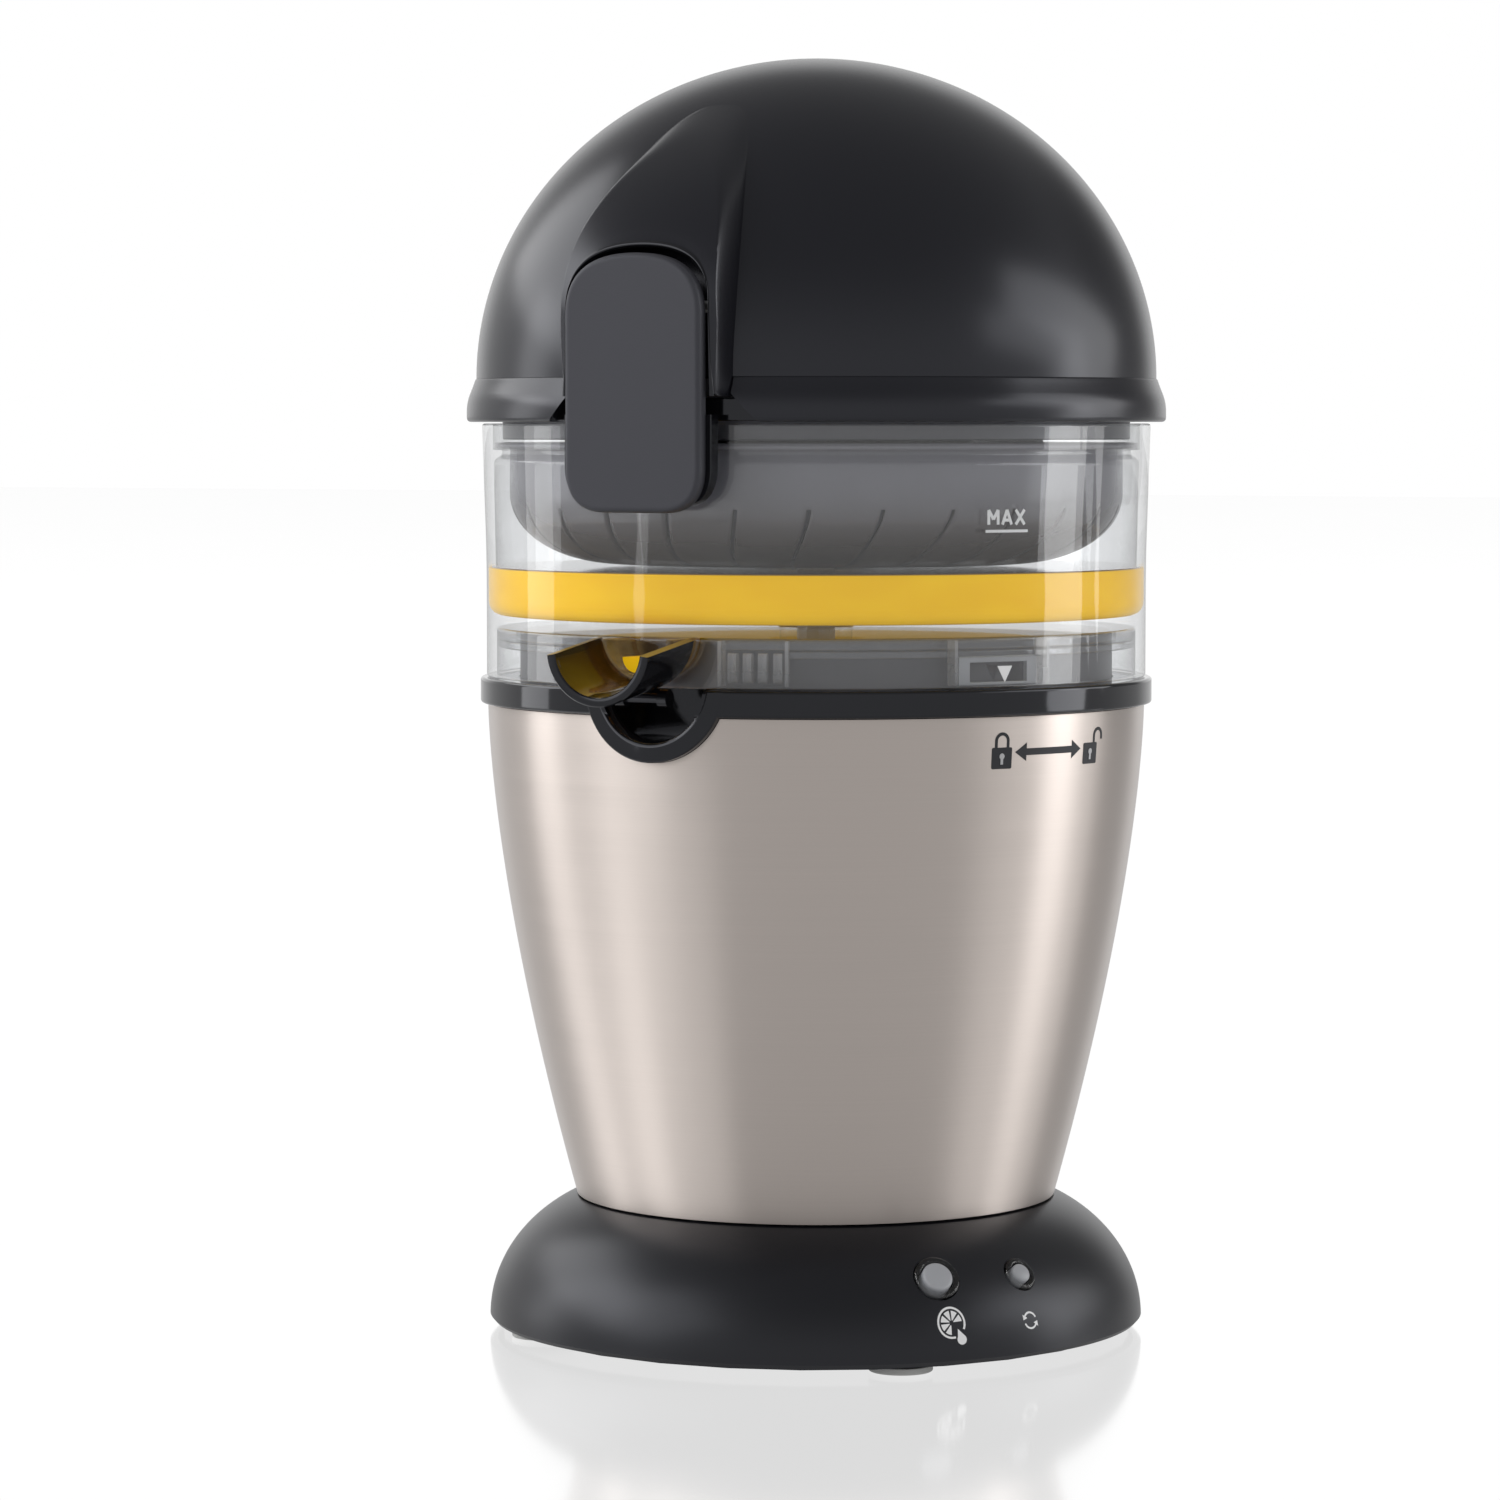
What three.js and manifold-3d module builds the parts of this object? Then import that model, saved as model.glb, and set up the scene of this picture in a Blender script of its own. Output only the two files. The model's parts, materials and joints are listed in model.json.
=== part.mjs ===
// Citrus press juicer with a domed press lid, a clear juice bowl and a steel motor body.
// Units are millimetres and +Z is up. The origin lies on the machine's upright axis at table level,
// and the spout, the front latch and the recess face -Y.
// Angles called azimuth are counted from the front (-Y) towards the right (+X).
import * as THREE from 'three';
import { mergeVertices } from 'three/addons/utils/BufferGeometryUtils.js';
import Module from 'manifold-3d';

const wasm = await Module();
wasm.setup();

// ---------- driving dimensions ----------
const GAP = 0.3;                  // running and assembly clearance between neighbouring pieces
const ROUND = 28;                 // facets around a large turned piece
const SMALL = 10;                 // facets around a small turned piece
const TINY = 8;                   // facets around a screw or a pin

const FOOT_RADIUS = 8;
const FOOT_PITCH_RADIUS = 73;
const PLATE_BOTTOM = 2;           // height of the bottom plate's underside
const PLATE_THICKNESS = 2.4;

const BASE_RADIUS = 84.6;         // widest part of the foot flare
const BASE_LIP = 3;               // height of the flare's lower edge
const BASE_TOP = 34.6;
const FLARE_RISE = 35;            // the flare is a quarter ellipse, this high ...
const FLARE_REACH = 40.2;         // ... and this wide
const BASE_WALL = 2.5;

const SLEEVE_BOTTOM = 35;
const SLEEVE_TOP = 162;
const SLEEVE_TOP_RADIUS = 84.7;
const SLEEVE_TAPER = 22.7;        // how much smaller the sleeve's radius is at the bottom
const SLEEVE_CURVE = 1.53;        // power of the taper, 1 would be a plain cone
const STEEL = 1;
const HOUSING_WALL = 2.2;

const COLLAR_RADIUS = 86.6;
const COLLAR_BOTTOM = 162.3;
const COLLAR_TOP = 168.9;
const TURRET_RADIUS = 76.4;
const TURRET_TOP = 180.9;

const RECESS_RADIUS = 13.5;       // hollow under the spout
const RECESS_RIM = 19;            // outer radius of its black surround
const RECESS_HEIGHT = 169.5;      // height of its centre

const BOWL_SKIRT = 169.2;         // the bowl stands this high, on the collar
const BOWL_RADIUS = 85;
const BOWL_RIM_RADIUS = 86.1;
const BOWL_RIM = 233.9;
const BOWL_FLOOR = 184.6;
const BOWL_UNDERSIDE = 181.6;
const BOWL_WALL = 2.6;
const CHIMNEY_RADIUS = 11.8;      // upright tube in the bowl that the spindle passes through
const CHIMNEY_TOP = 206.5;
const LUG_COUNT = 3;              // bayonet lugs between bowl and turret
const FIRST_LUG_AZIMUTH = 60;
const LUG_SPREAD = 8;             // half of a lug's width, in degrees: a twist of 22 frees the bowl

const OUTLET_RADIUS = 10;         // clear channel that leads the juice out
const OUTLET_START = 77.2;        // just outside the turret, so that the bowl can twist
const OUTLET_END = 93;
const OUTLET_WALL = 1.5;
const TROUGH_RADIUS = 14.25;
const TROUGH_WALL = 1.7;
const TROUGH_START = 93;
const TROUGH_END = 112;
const TROUGH_SLOPE = 8.7;         // degrees down towards the tip
const TROUGH_HINGE = [-89, 167];  // y and z of the trough's hinge pin

const STRAINER_RADIUS = 77.6;
const STRAINER_TOP = 229.1;
const STRAINER_FLOOR = 199.4;
const STRAINER_CORNER = 13;
const STRAINER_WALL = 1.6;
const SLOT_COUNT = 27;

const LID_RADIUS = 87.5;          // dome: half an ellipse of this radius ...
const LID_RISE = 82;              // ... and this height ...
const LID_SPRING_LINE = 245.3;    // ... above this level
const LID_WALL = 3;
const RIM_RADIUS = 90;
const RIM_BOTTOM = 234.3;

const BOSS_HALF_WIDTH = 22.5;     // raised pads on the dome that hold the latches
const BOSS_CENTRE = 255;          // height where the pad's arch begins
const BOSS_ARCH = 60;             // height of the arch
const BOSS_FRONT = 94.5;
const BOSS_BOTTOM = 240.5;
const BOSS_TOP = 315;
const LATCH_HALF_WIDTH = 19;
const LATCH_FACE = 95;
const LATCH_BOTTOM = 212.2;
const LATCH_TOP = 275.2;
const LATCH_THICKNESS = 3.5;
const LATCH_PIVOT = [89.5, 262];  // distance from the axis and height of the latch pin
const LATCH_PIN_RADIUS = 1.5;

const CUP_RADIUS = 41;            // press cup that pushes the fruit down
const CUP_RIM = 226;
const CUP_TOP = 266;
const CUP_WALL = 2.5;
const PRESS_STEM_RADIUS = 8;
const GUIDE_BOTTOM = 289.5;
const GUIDE_TOP = 322.6;

const SPINDLE_RADIUS = 5;
const REAMER_RADIUS = 27;
const REAMER_BOTTOM = 208.5;
const REAMER_TOP = 258;
const REAMER_RIBS = 8;

const MODULE = 1.5;               // gear tooth size
const PINION_TEETH = 10;
const IDLER_LARGE_TEETH = 22;
const IDLER_SMALL_TEETH = 10;
const OUTPUT_TEETH = 28;
const IDLER_X = MODULE * (IDLER_SMALL_TEETH + OUTPUT_TEETH) / 2;
const MOTOR_X = IDLER_X - MODULE * (PINION_TEETH + IDLER_LARGE_TEETH) / 2;
const MOTOR_RADIUS = 28;
const STAGE_ONE = 118;            // height of the first pair of gears
const STAGE_TWO = 130;            // height of the second pair
const MOTOR_BOTTOM = 52;          // lower and upper end of the motor's can
const MOTOR_TOP = 111;
const MOTOR_SHAFT_RADIUS = 2.5;
const LOWER_BEARING_RADIUS = 9;
const MOUNT_BOTTOM = MOTOR_TOP + GAP;
const MOUNT_THICKNESS = 2.4;
const GEARBOX_BOTTOM = MOUNT_BOTTOM + MOUNT_THICKNESS + GAP;
const GEARBOX_TOP = 143;
const COVER_TOP = 146;
const GEARBOX_WALL = 2.5;
const IDLER_PIN_RADIUS = 2;

const START_BUTTON = { azimuth: 51, height: 23.2, bezel: 5.9, cap: 3.9 };
const REVERSE_BUTTON = { azimuth: 68.9, height: 22.3, bezel: 4.4, cap: 2.5 };

// ---------- materials ----------
function material(color, roughness, metalness = 0, opacity = 1) {
  return new THREE.MeshStandardMaterial({
    color,
    roughness,
    metalness,
    opacity,
    transparent: opacity < 1,
  });
}

const satinBlack = () => material(0x26272a, 0.35);
const glossBlack = () => material(0x141416, 0.15);
const matteCharcoal = () => material(0x4c4c51, 0.6);
const darkGrey = () => material(0x55565b, 0.5);
const steel = () => material(0xbeb7b2, 0.3, 1);
const clearPlastic = () => material(0xf2f5f7, 0.05, 0, 0.25);
const smokyPlastic = () => material(0x6d6f75, 0.2, 0, 0.6);
const rubber = () => material(0xb9b9b6, 0.7);
const nylon = () => material(0xe9e4d6, 0.5);
const brass = () => material(0xb08d45, 0.35, 1);
const circuit = () => material(0x2c6b3c, 0.6);

// ---------- solids ----------
function toSolid(geometry) {
  const bare = new THREE.BufferGeometry();
  bare.setAttribute('position', geometry.getAttribute('position').clone());
  if (geometry.index) {
    bare.setIndex(geometry.index.clone());
  }
  const merged = mergeVertices(bare, 1e-4);
  const source = merged.index.array;
  const points = merged.getAttribute('position').array;
  const triangles = [];
  let volume = 0;
  for (let i = 0; i < source.length; i += 3) {
    const [a, b, c] = [source[i], source[i + 1], source[i + 2]];
    if (a === b || b === c || c === a) {
      continue;
    }
    triangles.push(a, b, c);
    const [p, q, r] = [a, b, c].map((k) => new THREE.Vector3().fromArray(points, 3 * k));
    volume += p.dot(q.cross(r));
  }
  if (volume < 0) {
    triangles.reverse();
  }
  return new wasm.Manifold(new wasm.Mesh({
    numProp: 3,
    vertProperties: Float32Array.from(points),
    triVerts: Uint32Array.from(triangles),
  }));
}

function toGeometry(body) {
  const mesh = body.getMesh();
  const geometry = new THREE.BufferGeometry();
  geometry.setAttribute('position', new THREE.BufferAttribute(mesh.vertProperties, 3));
  geometry.setIndex(new THREE.BufferAttribute(mesh.triVerts, 1));
  return geometry;
}

function join(...geometries) {
  return toGeometry(geometries.map(toSolid).reduce((a, b) => a.add(b)));
}

function cut(body, ...tools) {
  return toGeometry(tools.map(toSolid).reduce((a, b) => a.subtract(b), toSolid(body)));
}

function common(a, b) {
  return toGeometry(toSolid(a).intersect(toSolid(b)));
}

// A turned piece about Z from [radius, height] points. A ring's outline is closed by itself.
function turned(outline, segments = ROUND) {
  const points = outline.map(([r, z]) => new THREE.Vector2(r, z));
  const [first, last] = [points[0], points[points.length - 1]];
  if (first.x > 0 || last.x > 0) {
    points.push(first.clone());
  }
  return new THREE.LatheGeometry(points, segments).rotateX(Math.PI / 2);
}

function ring(outer, inner, bottom, top, segments = ROUND) {
  return turned([[outer, bottom], [outer, top], [inner, top], [inner, bottom]], segments);
}

function rod(radius, bottom, top, segments = SMALL) {
  const height = top - bottom;
  return new THREE.CylinderGeometry(radius, radius, height, segments)
    .rotateX(Math.PI / 2)
    .translate(0, 0, bottom + height / 2);
}

// A rod along X or Y, between two places on that axis.
function rodAlong(axis, radius, from, to, segments = SMALL) {
  const lying = rod(radius, from, to, segments);
  return axis === 'x' ? lying.rotateY(Math.PI / 2) : lying.rotateX(-Math.PI / 2);
}

function block([x0, x1], [y0, y1], [z0, z1]) {
  return new THREE.BoxGeometry(x1 - x0, y1 - y0, z1 - z0)
    .translate((x0 + x1) / 2, (y0 + y1) / 2, (z0 + z1) / 2);
}

// A flat outline drawn in X and Z, pushed through from y0 to y1.
function pushedAlongY(shape, y0, y1, curveSegments = 8) {
  return new THREE.ExtrudeGeometry(shape, { depth: y1 - y0, bevelEnabled: false, curveSegments })
    .rotateX(Math.PI / 2)
    .translate(0, y1, 0);
}

// An outline drawn in X and Y, standing from z0 to z1.
function standing(shape, z0, z1, curveSegments = 5) {
  return new THREE.ExtrudeGeometry(shape, { depth: z1 - z0, bevelEnabled: false, curveSegments })
    .translate(0, 0, z0);
}

function polygon(points) {
  return new THREE.Shape(points.map(([x, y]) => new THREE.Vector2(x, y)));
}

function steps(from, to, count) {
  return Array.from({ length: count + 1 }, (_, i) => from + ((to - from) * i) / count);
}

function onCircle(radius, azimuth) {
  const angle = THREE.MathUtils.degToRad(azimuth);
  return [radius * Math.sin(angle), -radius * Math.cos(angle)];
}

// Half a turn about Z: the rear copy of a front piece.
function rear(geometry) {
  return geometry.clone().rotateZ(Math.PI);
}

function coil(radius, wire, bottom, top, turns, stepsPerTurn = 10) {
  class Helix extends THREE.Curve {
    getPoint(t, target = new THREE.Vector3()) {
      const angle = 2 * Math.PI * turns * t;
      const height = bottom + wire + (top - bottom - 2 * wire) * t;
      return target.set(radius * Math.cos(angle), radius * Math.sin(angle), height);
    }
  }
  const section = new THREE.Shape().absarc(0, 0, wire, 0, 2 * Math.PI);
  return new THREE.ExtrudeGeometry(section, {
    steps: turns * stepsPerTurn,
    curveSegments: 3,
    bevelEnabled: false,
    extrudePath: new Helix(),
  });
}

// ---------- outlines worked out from formulas ----------
const FLARE_CENTRE = BASE_RADIUS - FLARE_REACH;

function flareHeight(radius, inset = 0) {
  const share = (radius - FLARE_CENTRE) / (FLARE_REACH - inset);
  return BASE_LIP + (FLARE_RISE - inset) * Math.sqrt(Math.max(0, 1 - share ** 2));
}

function flareRadius(height, inset = 0) {
  const share = (height - BASE_LIP) / (FLARE_RISE - inset);
  return FLARE_CENTRE + (FLARE_REACH - inset) * Math.sqrt(Math.max(0, 1 - share ** 2));
}

function sleeveRadius(height) {
  const depth = (SLEEVE_TOP - height) / (SLEEVE_TOP - SLEEVE_BOTTOM);
  return SLEEVE_TOP_RADIUS - SLEEVE_TAPER * depth ** SLEEVE_CURVE;
}

function domeOutline(radius, rise, count) {
  return steps(0, Math.PI / 2, count).map((angle) => [
    radius * Math.cos(angle),
    LID_SPRING_LINE + rise * Math.sin(angle),
  ]).map(([r, z], i) => (i === count ? [0, z] : [r, z]));
}

// ---------- base ----------
const SLEEVE_FOOT_RADIUS = sleeveRadius(SLEEVE_BOTTOM);
const COLUMN_RADIUS = 60;

function fourAround(radius, firstAzimuth) {
  return [0, 1, 2, 3].map((i) => onCircle(radius, firstAzimuth + 90 * i));
}

function buttonPlace({ azimuth, height }) {
  const radius = flareRadius(height);
  const [x, y] = onCircle(radius, azimuth);
  const out = (radius - FLARE_CENTRE) / FLARE_REACH ** 2;
  const up = (height - BASE_LIP) / FLARE_RISE ** 2;
  const [nx, ny] = onCircle(out, azimuth);
  const normal = new THREE.Vector3(nx, ny, up).normalize();
  return { point: new THREE.Vector3(x, y, height), normal };
}

function alongButton(geometry, button) {
  const { point, normal } = buttonPlace(button);
  const turn = new THREE.Quaternion().setFromUnitVectors(new THREE.Vector3(0, 0, 1), normal);
  return geometry.applyQuaternion(turn).translate(point.x, point.y, point.z);
}

function baseShell() {
  const outer = steps(BASE_LIP, BASE_TOP, 5).map((z) => [flareRadius(z), z]);
  const inner = steps(BASE_TOP - BASE_WALL, BASE_LIP + 1, 4)
    .map((z) => [flareRadius(z, BASE_WALL), z]);
  const hole = SLEEVE_FOOT_RADIUS - 6;
  let shell = turned([...outer, [hole, BASE_TOP], [hole, BASE_TOP - BASE_WALL], ...inner,
    [BASE_RADIUS - BASE_WALL, BASE_LIP]]);
  const columns = fourAround(COLUMN_RADIUS, 0)
    .map(([x, y]) => rod(4.2, PLATE_BOTTOM + PLATE_THICKNESS + GAP, BASE_TOP - 1).translate(x, y, 0));
  const pilots = fourAround(COLUMN_RADIUS, 0).map(([x, y]) => rod(1.8, 0, 18, TINY).translate(x, y, 0));
  shell = cut(join(shell, ...columns), ...pilots);
  for (const button of [START_BUTTON, REVERSE_BUTTON]) {
    shell = cut(shell, alongButton(rod(button.bezel + GAP, -10, 6, 16), button));
  }
  return cut(shell, rodAlong('y', 6 + GAP, 60, 95).translate(0, 0, 16));
}

function bottomPlate() {
  const top = PLATE_BOTTOM + PLATE_THICKNESS;
  let plate = rod(BASE_RADIUS - BASE_WALL - 2 * GAP, PLATE_BOTTOM, top, ROUND);
  const posts = [[20, -34], [44, -34], [20, -8], [44, -8]]
    .map(([x, y]) => rod(2.5, top - 1, 6.7, TINY).translate(x, y, 0));
  plate = join(plate, ...posts);
  const footHoles = fourAround(FOOT_PITCH_RADIUS, 45)
    .map(([x, y]) => rod(3.4 + GAP, 0, 9, TINY).translate(x, y, 0));
  const screwHoles = fourAround(COLUMN_RADIUS, 0)
    .map(([x, y]) => join(rod(3.9, 0, 3.4, TINY), rod(1.9, 0, 9, TINY)).translate(x, y, 0));
  return cut(plate, ...footHoles, ...screwHoles);
}

function foot() {
  return turned([[0, 0], [FOOT_RADIUS - 0.5, 0], [FOOT_RADIUS, 0.5], [FOOT_RADIUS, PLATE_BOTTOM - GAP],
    [3, PLATE_BOTTOM - GAP], [3, 6], [0, 6]], SMALL);
}

function bottomScrew() {
  return turned([[0, 2.4], [3.5, 2.4], [3.5, 3.1], [1.5, 3.1], [1.5, 15], [0, 16]], TINY);
}

// ---------- motor body ----------
function recessCutter(radius, depth = 100) {
  return rodAlong('y', radius, -depth, -60, 32).translate(0, 0, RECESS_HEIGHT);
}

function steelSleeve() {
  const heights = steps(SLEEVE_BOTTOM, SLEEVE_TOP, 5);
  const outer = heights.map((z) => [sleeveRadius(z), z]);
  const inner = heights.reverse().map((z) => [sleeveRadius(z) - STEEL, z]);
  return cut(turned([...outer, ...inner]), recessCutter(RECESS_RIM + GAP));
}

const HOUSING_TOP = 159.3;

function innerHousing() {
  const heights = steps(SLEEVE_BOTTOM, HOUSING_TOP, 5);
  const outer = heights.map((z) => [sleeveRadius(z) - STEEL - GAP - 0.2, z]);
  const inner = heights.reverse().map((z) => [sleeveRadius(z) - STEEL - GAP - 0.2 - HOUSING_WALL, z]);
  return cut(turned([...outer, ...inner]), recessCutter(RECESS_RIM + GAP));
}

const POCKET_DEPTH = 20;

function collarRing() {
  const band = turned([
    [COLLAR_RADIUS, COLLAR_BOTTOM + 0.6],
    [COLLAR_RADIUS, COLLAR_TOP - 0.6],
    [COLLAR_RADIUS - 0.6, COLLAR_TOP],
    [TURRET_RADIUS + GAP, COLLAR_TOP],
    [TURRET_RADIUS + GAP, COLLAR_BOTTOM],
    [COLLAR_RADIUS - 0.6, COLLAR_BOTTOM],
  ]);
  const back = COLLAR_RADIUS - POCKET_DEPTH;
  const surround = rodAlong('y', RECESS_RIM, -COLLAR_RADIUS - 5, -back, 32).translate(0, 0, RECESS_HEIGHT);
  const reach = common(surround, rod(COLLAR_RADIUS - 0.2, 100, COLLAR_TOP, ROUND));
  const hollow = rodAlong('y', RECESS_RADIUS, -120, -back - 2, 32).translate(0, 0, RECESS_HEIGHT);
  return cut(join(band, reach), hollow);
}

function lug(inner, outer, bottom, top, azimuth, spread) {
  const corners = [
    ...steps(-spread, spread, 4).map((a) => onCircle(outer, azimuth + a)),
    ...steps(spread, -spread, 4).map((a) => onCircle(inner, azimuth + a)),
  ];
  return standing(polygon(corners), bottom, top);
}

function lugAzimuths() {
  return Array.from({ length: LUG_COUNT }, (_, i) => FIRST_LUG_AZIMUTH + (360 / LUG_COUNT) * i);
}

const DECK = 2.4;                 // thickness of the turret's top
const HUB_RADIUS = 15;

function topDeck() {
  const flange = COLLAR_BOTTOM - GAP;
  const shell = turned([
    [80.2, HOUSING_TOP + GAP],
    [80.2, flange],
    [TURRET_RADIUS, flange],
    [TURRET_RADIUS, TURRET_TOP - 1],
    [TURRET_RADIUS - 1, TURRET_TOP],
    [8 + GAP, TURRET_TOP],
    [8 + GAP, 175.5],
    [SPINDLE_RADIUS + 1, 175.5],
    [SPINDLE_RADIUS + 1, 174.4],
    [11 + GAP, 174.4],
    [11 + GAP, 165],
    [HUB_RADIUS, 165],
    [HUB_RADIUS, TURRET_TOP - DECK],
    [TURRET_RADIUS - 2.2, TURRET_TOP - DECK],
    [TURRET_RADIUS - 2.2, HOUSING_TOP + GAP],
  ]);
  const lugs = lugAzimuths().map((a) => lug(TURRET_RADIUS - 1, 81, 173.8, 176.8, a, LUG_SPREAD));
  const pocketRoom = common(recessCutter(RECESS_RIM + GAP), block([-30, 30], [-100, -50], [140, 169.2]));
  return cut(join(shell, ...lugs), pocketRoom);
}

// ---------- motor and gears ----------
function gearOutline(teeth, phase) {
  const pitchRadius = (MODULE * teeth) / 2;
  const root = pitchRadius - 1.15 * MODULE;
  const tip = pitchRadius + 0.7 * MODULE;
  const rootHalf = (0.72 * MODULE) / root;
  const tipHalf = (0.34 * MODULE) / tip;
  const points = [];
  for (let i = 0; i < teeth; i += 1) {
    const middle = phase + (2 * Math.PI * i) / teeth;
    for (const [radius, offset] of [[root, -rootHalf], [tip, -tipHalf], [tip, tipHalf], [root, rootHalf]]) {
      points.push([radius * Math.cos(middle + offset), radius * Math.sin(middle + offset)]);
    }
  }
  return polygon(points);
}

function gear(teeth, bottom, top, phase) {
  return standing(gearOutline(teeth, phase), bottom, top);
}

// A tooth gap of the meshing gear faces its partner, which lies towards -X.
function gapTowardsPartner(teeth) {
  return Math.PI - Math.PI / teeth;
}

const GEAR_WIDTH = 8;

function motorRotor() {
  const core = 14;
  const body = turned([
    [0, MOTOR_BOTTOM - 2],
    [MOTOR_SHAFT_RADIUS, MOTOR_BOTTOM - 2],
    [MOTOR_SHAFT_RADIUS, MOTOR_BOTTOM + 12],
    [core, MOTOR_BOTTOM + 12],
    [core, MOTOR_TOP - 15],
    [MOTOR_SHAFT_RADIUS, MOTOR_TOP - 15],
    [MOTOR_SHAFT_RADIUS, STAGE_ONE + 1],
    [0, STAGE_ONE + 1],
  ], SMALL);
  return join(body, gear(PINION_TEETH, STAGE_ONE, STAGE_ONE + GEAR_WIDTH, 0));
}

function idlerGear() {
  const large = gear(IDLER_LARGE_TEETH, STAGE_ONE, STAGE_ONE + GEAR_WIDTH,
    gapTowardsPartner(IDLER_LARGE_TEETH));
  const small = gear(IDLER_SMALL_TEETH, STAGE_ONE + GEAR_WIDTH - 1, STAGE_TWO + GEAR_WIDTH,
    gapTowardsPartner(IDLER_SMALL_TEETH));
  return cut(join(large, small), rod(IDLER_PIN_RADIUS + GAP, 100, 150, TINY));
}

function outputGear() {
  return cut(gear(OUTPUT_TEETH, STAGE_TWO, STAGE_TWO + GEAR_WIDTH, 0),
    rod(SPINDLE_RADIUS + GAP, 100, 150));
}

// Outline around the output gear and the idler, grown outwards by a margin.
function gearboxOutline(margin) {
  const small = 19 + margin;
  const large = 22.5 + margin;
  const shape = new THREE.Shape();
  const lean = Math.asin((large - small) / IDLER_X);
  shape.absarc(0, 0, large, Math.PI / 2 - lean, 1.5 * Math.PI + lean, false);
  shape.absarc(IDLER_X, 0, small, -Math.PI / 2 + lean, Math.PI / 2 - lean, false);
  return shape;
}

const GEARBOX_SCREWS = [[-28, 0], [20, 27], [20, -27]];

// A rod at each of the gearbox's three screws.
function atGearboxScrews(radius, bottom, top, segments = SMALL) {
  return GEARBOX_SCREWS.map(([x, y]) => rod(radius, bottom, top, segments).translate(x, y, 0));
}

function idlerHole() {
  return rod(IDLER_PIN_RADIUS + GAP, 100, 150, TINY).translate(IDLER_X, 0, 0);
}

function gearboxCase() {
  const outside = join(standing(gearboxOutline(1 + GEARBOX_WALL), GEARBOX_BOTTOM, GEARBOX_TOP),
    ...atGearboxScrews(4.5, GEARBOX_BOTTOM, GEARBOX_TOP));
  const room = standing(gearboxOutline(1), GEARBOX_BOTTOM + GEARBOX_WALL, GEARBOX_TOP + 7);
  const shaftHole = rod(MOTOR_SHAFT_RADIUS + 0.7, 100, 120).translate(MOTOR_X, 0, 0);
  return cut(outside, room, shaftHole, idlerHole(), ...atGearboxScrews(1.8, 130, 150, TINY));
}

function gearboxCover() {
  const bottom = GEARBOX_TOP + GAP;
  const plate = join(standing(gearboxOutline(1 + GEARBOX_WALL), bottom, COVER_TOP),
    ...atGearboxScrews(4.5, bottom, COVER_TOP));
  return cut(plate, rod(LOWER_BEARING_RADIUS + GAP, 140, 150), idlerHole(),
    ...atGearboxScrews(1.9, 140, 150, TINY));
}

function gearboxScrew() {
  const head = COVER_TOP + GAP;
  return turned([[0, 132], [1.5, 132], [1.5, head], [3.2, head], [3.2, head + 2.3], [0, head + 2.3]], TINY);
}

function mountPlate() {
  const top = MOUNT_BOTTOM + MOUNT_THICKNESS;
  const arms = [0, 120, 240].map((a) => block([-8, 8], [30, 74], [MOUNT_BOTTOM, top])
    .rotateZ(THREE.MathUtils.degToRad(a)));
  const disc = rod(38, MOUNT_BOTTOM, top, 24);
  const shaftHole = rod(MOTOR_SHAFT_RADIUS + 1.5, 100, 120).translate(MOTOR_X, 0, 0);
  return cut(join(disc, ring(74.6, 70, MOUNT_BOTTOM, top), ...arms), shaftHole, idlerHole());
}

function motorCan() {
  const wall = 2;
  return turned([
    [MOTOR_RADIUS, MOTOR_BOTTOM],
    [MOTOR_RADIUS, MOTOR_TOP],
    [4, MOTOR_TOP],
    [4, MOTOR_TOP - wall],
    [MOTOR_RADIUS - wall, MOTOR_TOP - wall],
    [MOTOR_RADIUS - wall, MOTOR_BOTTOM],
  ], 24);
}

function motorCap() {
  const inside = MOTOR_BOTTOM - 2.6;
  return turned([
    [0, inside - 2.4],
    [12, inside - 2.4],
    [12, inside - 1.2],
    [MOTOR_RADIUS, inside - 0.2],
    [MOTOR_RADIUS, MOTOR_BOTTOM - GAP],
    [MOTOR_SHAFT_RADIUS + GAP, MOTOR_BOTTOM - GAP],
    [MOTOR_SHAFT_RADIUS + GAP, inside],
    [0, inside],
  ], 24);
}

// ---------- drive to the fruit ----------
function driveSpindle() {
  const shaft = rod(SPINDLE_RADIUS, STAGE_TWO - 1, 205);
  const key = rod(SPINDLE_RADIUS - 0.3, 204, 238, 6);
  return join(shaft, key);
}

function reamer() {
  const wall = turned([[0, REAMER_TOP], [5, REAMER_TOP - 1.5], [13, REAMER_TOP - 14],
    [20, REAMER_BOTTOM + 14], [24, REAMER_BOTTOM + 3], [REAMER_RADIUS, REAMER_BOTTOM + 2.5],
    [REAMER_RADIUS, REAMER_BOTTOM], [0, REAMER_BOTTOM]], 16);
  const profile = polygon([[0, REAMER_BOTTOM + 1], [25.8, REAMER_BOTTOM + 1], [25.8, REAMER_BOTTOM + 4],
    [21.8, REAMER_BOTTOM + 15], [14.8, REAMER_TOP - 14], [6, REAMER_TOP], [0, REAMER_TOP + 1.5]]);
  const rib = pushedAlongY(profile, -0.9, 0.9);
  const ribs = Array.from({ length: REAMER_RIBS }, (_, i) => rib.clone()
    .rotateZ((2 * Math.PI * i) / REAMER_RIBS));
  const hollow = turned([[0, REAMER_BOTTOM - 1], [21.5, REAMER_BOTTOM - 1], [17, REAMER_BOTTOM + 14],
    [10, REAMER_TOP - 16], [0, REAMER_TOP - 8]], 12);
  const socket = rod(8, REAMER_BOTTOM, REAMER_TOP - 6);
  return cut(join(cut(join(wall, ...ribs), hollow), socket), rod(SPINDLE_RADIUS + GAP, 200, 239.5));
}

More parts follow.
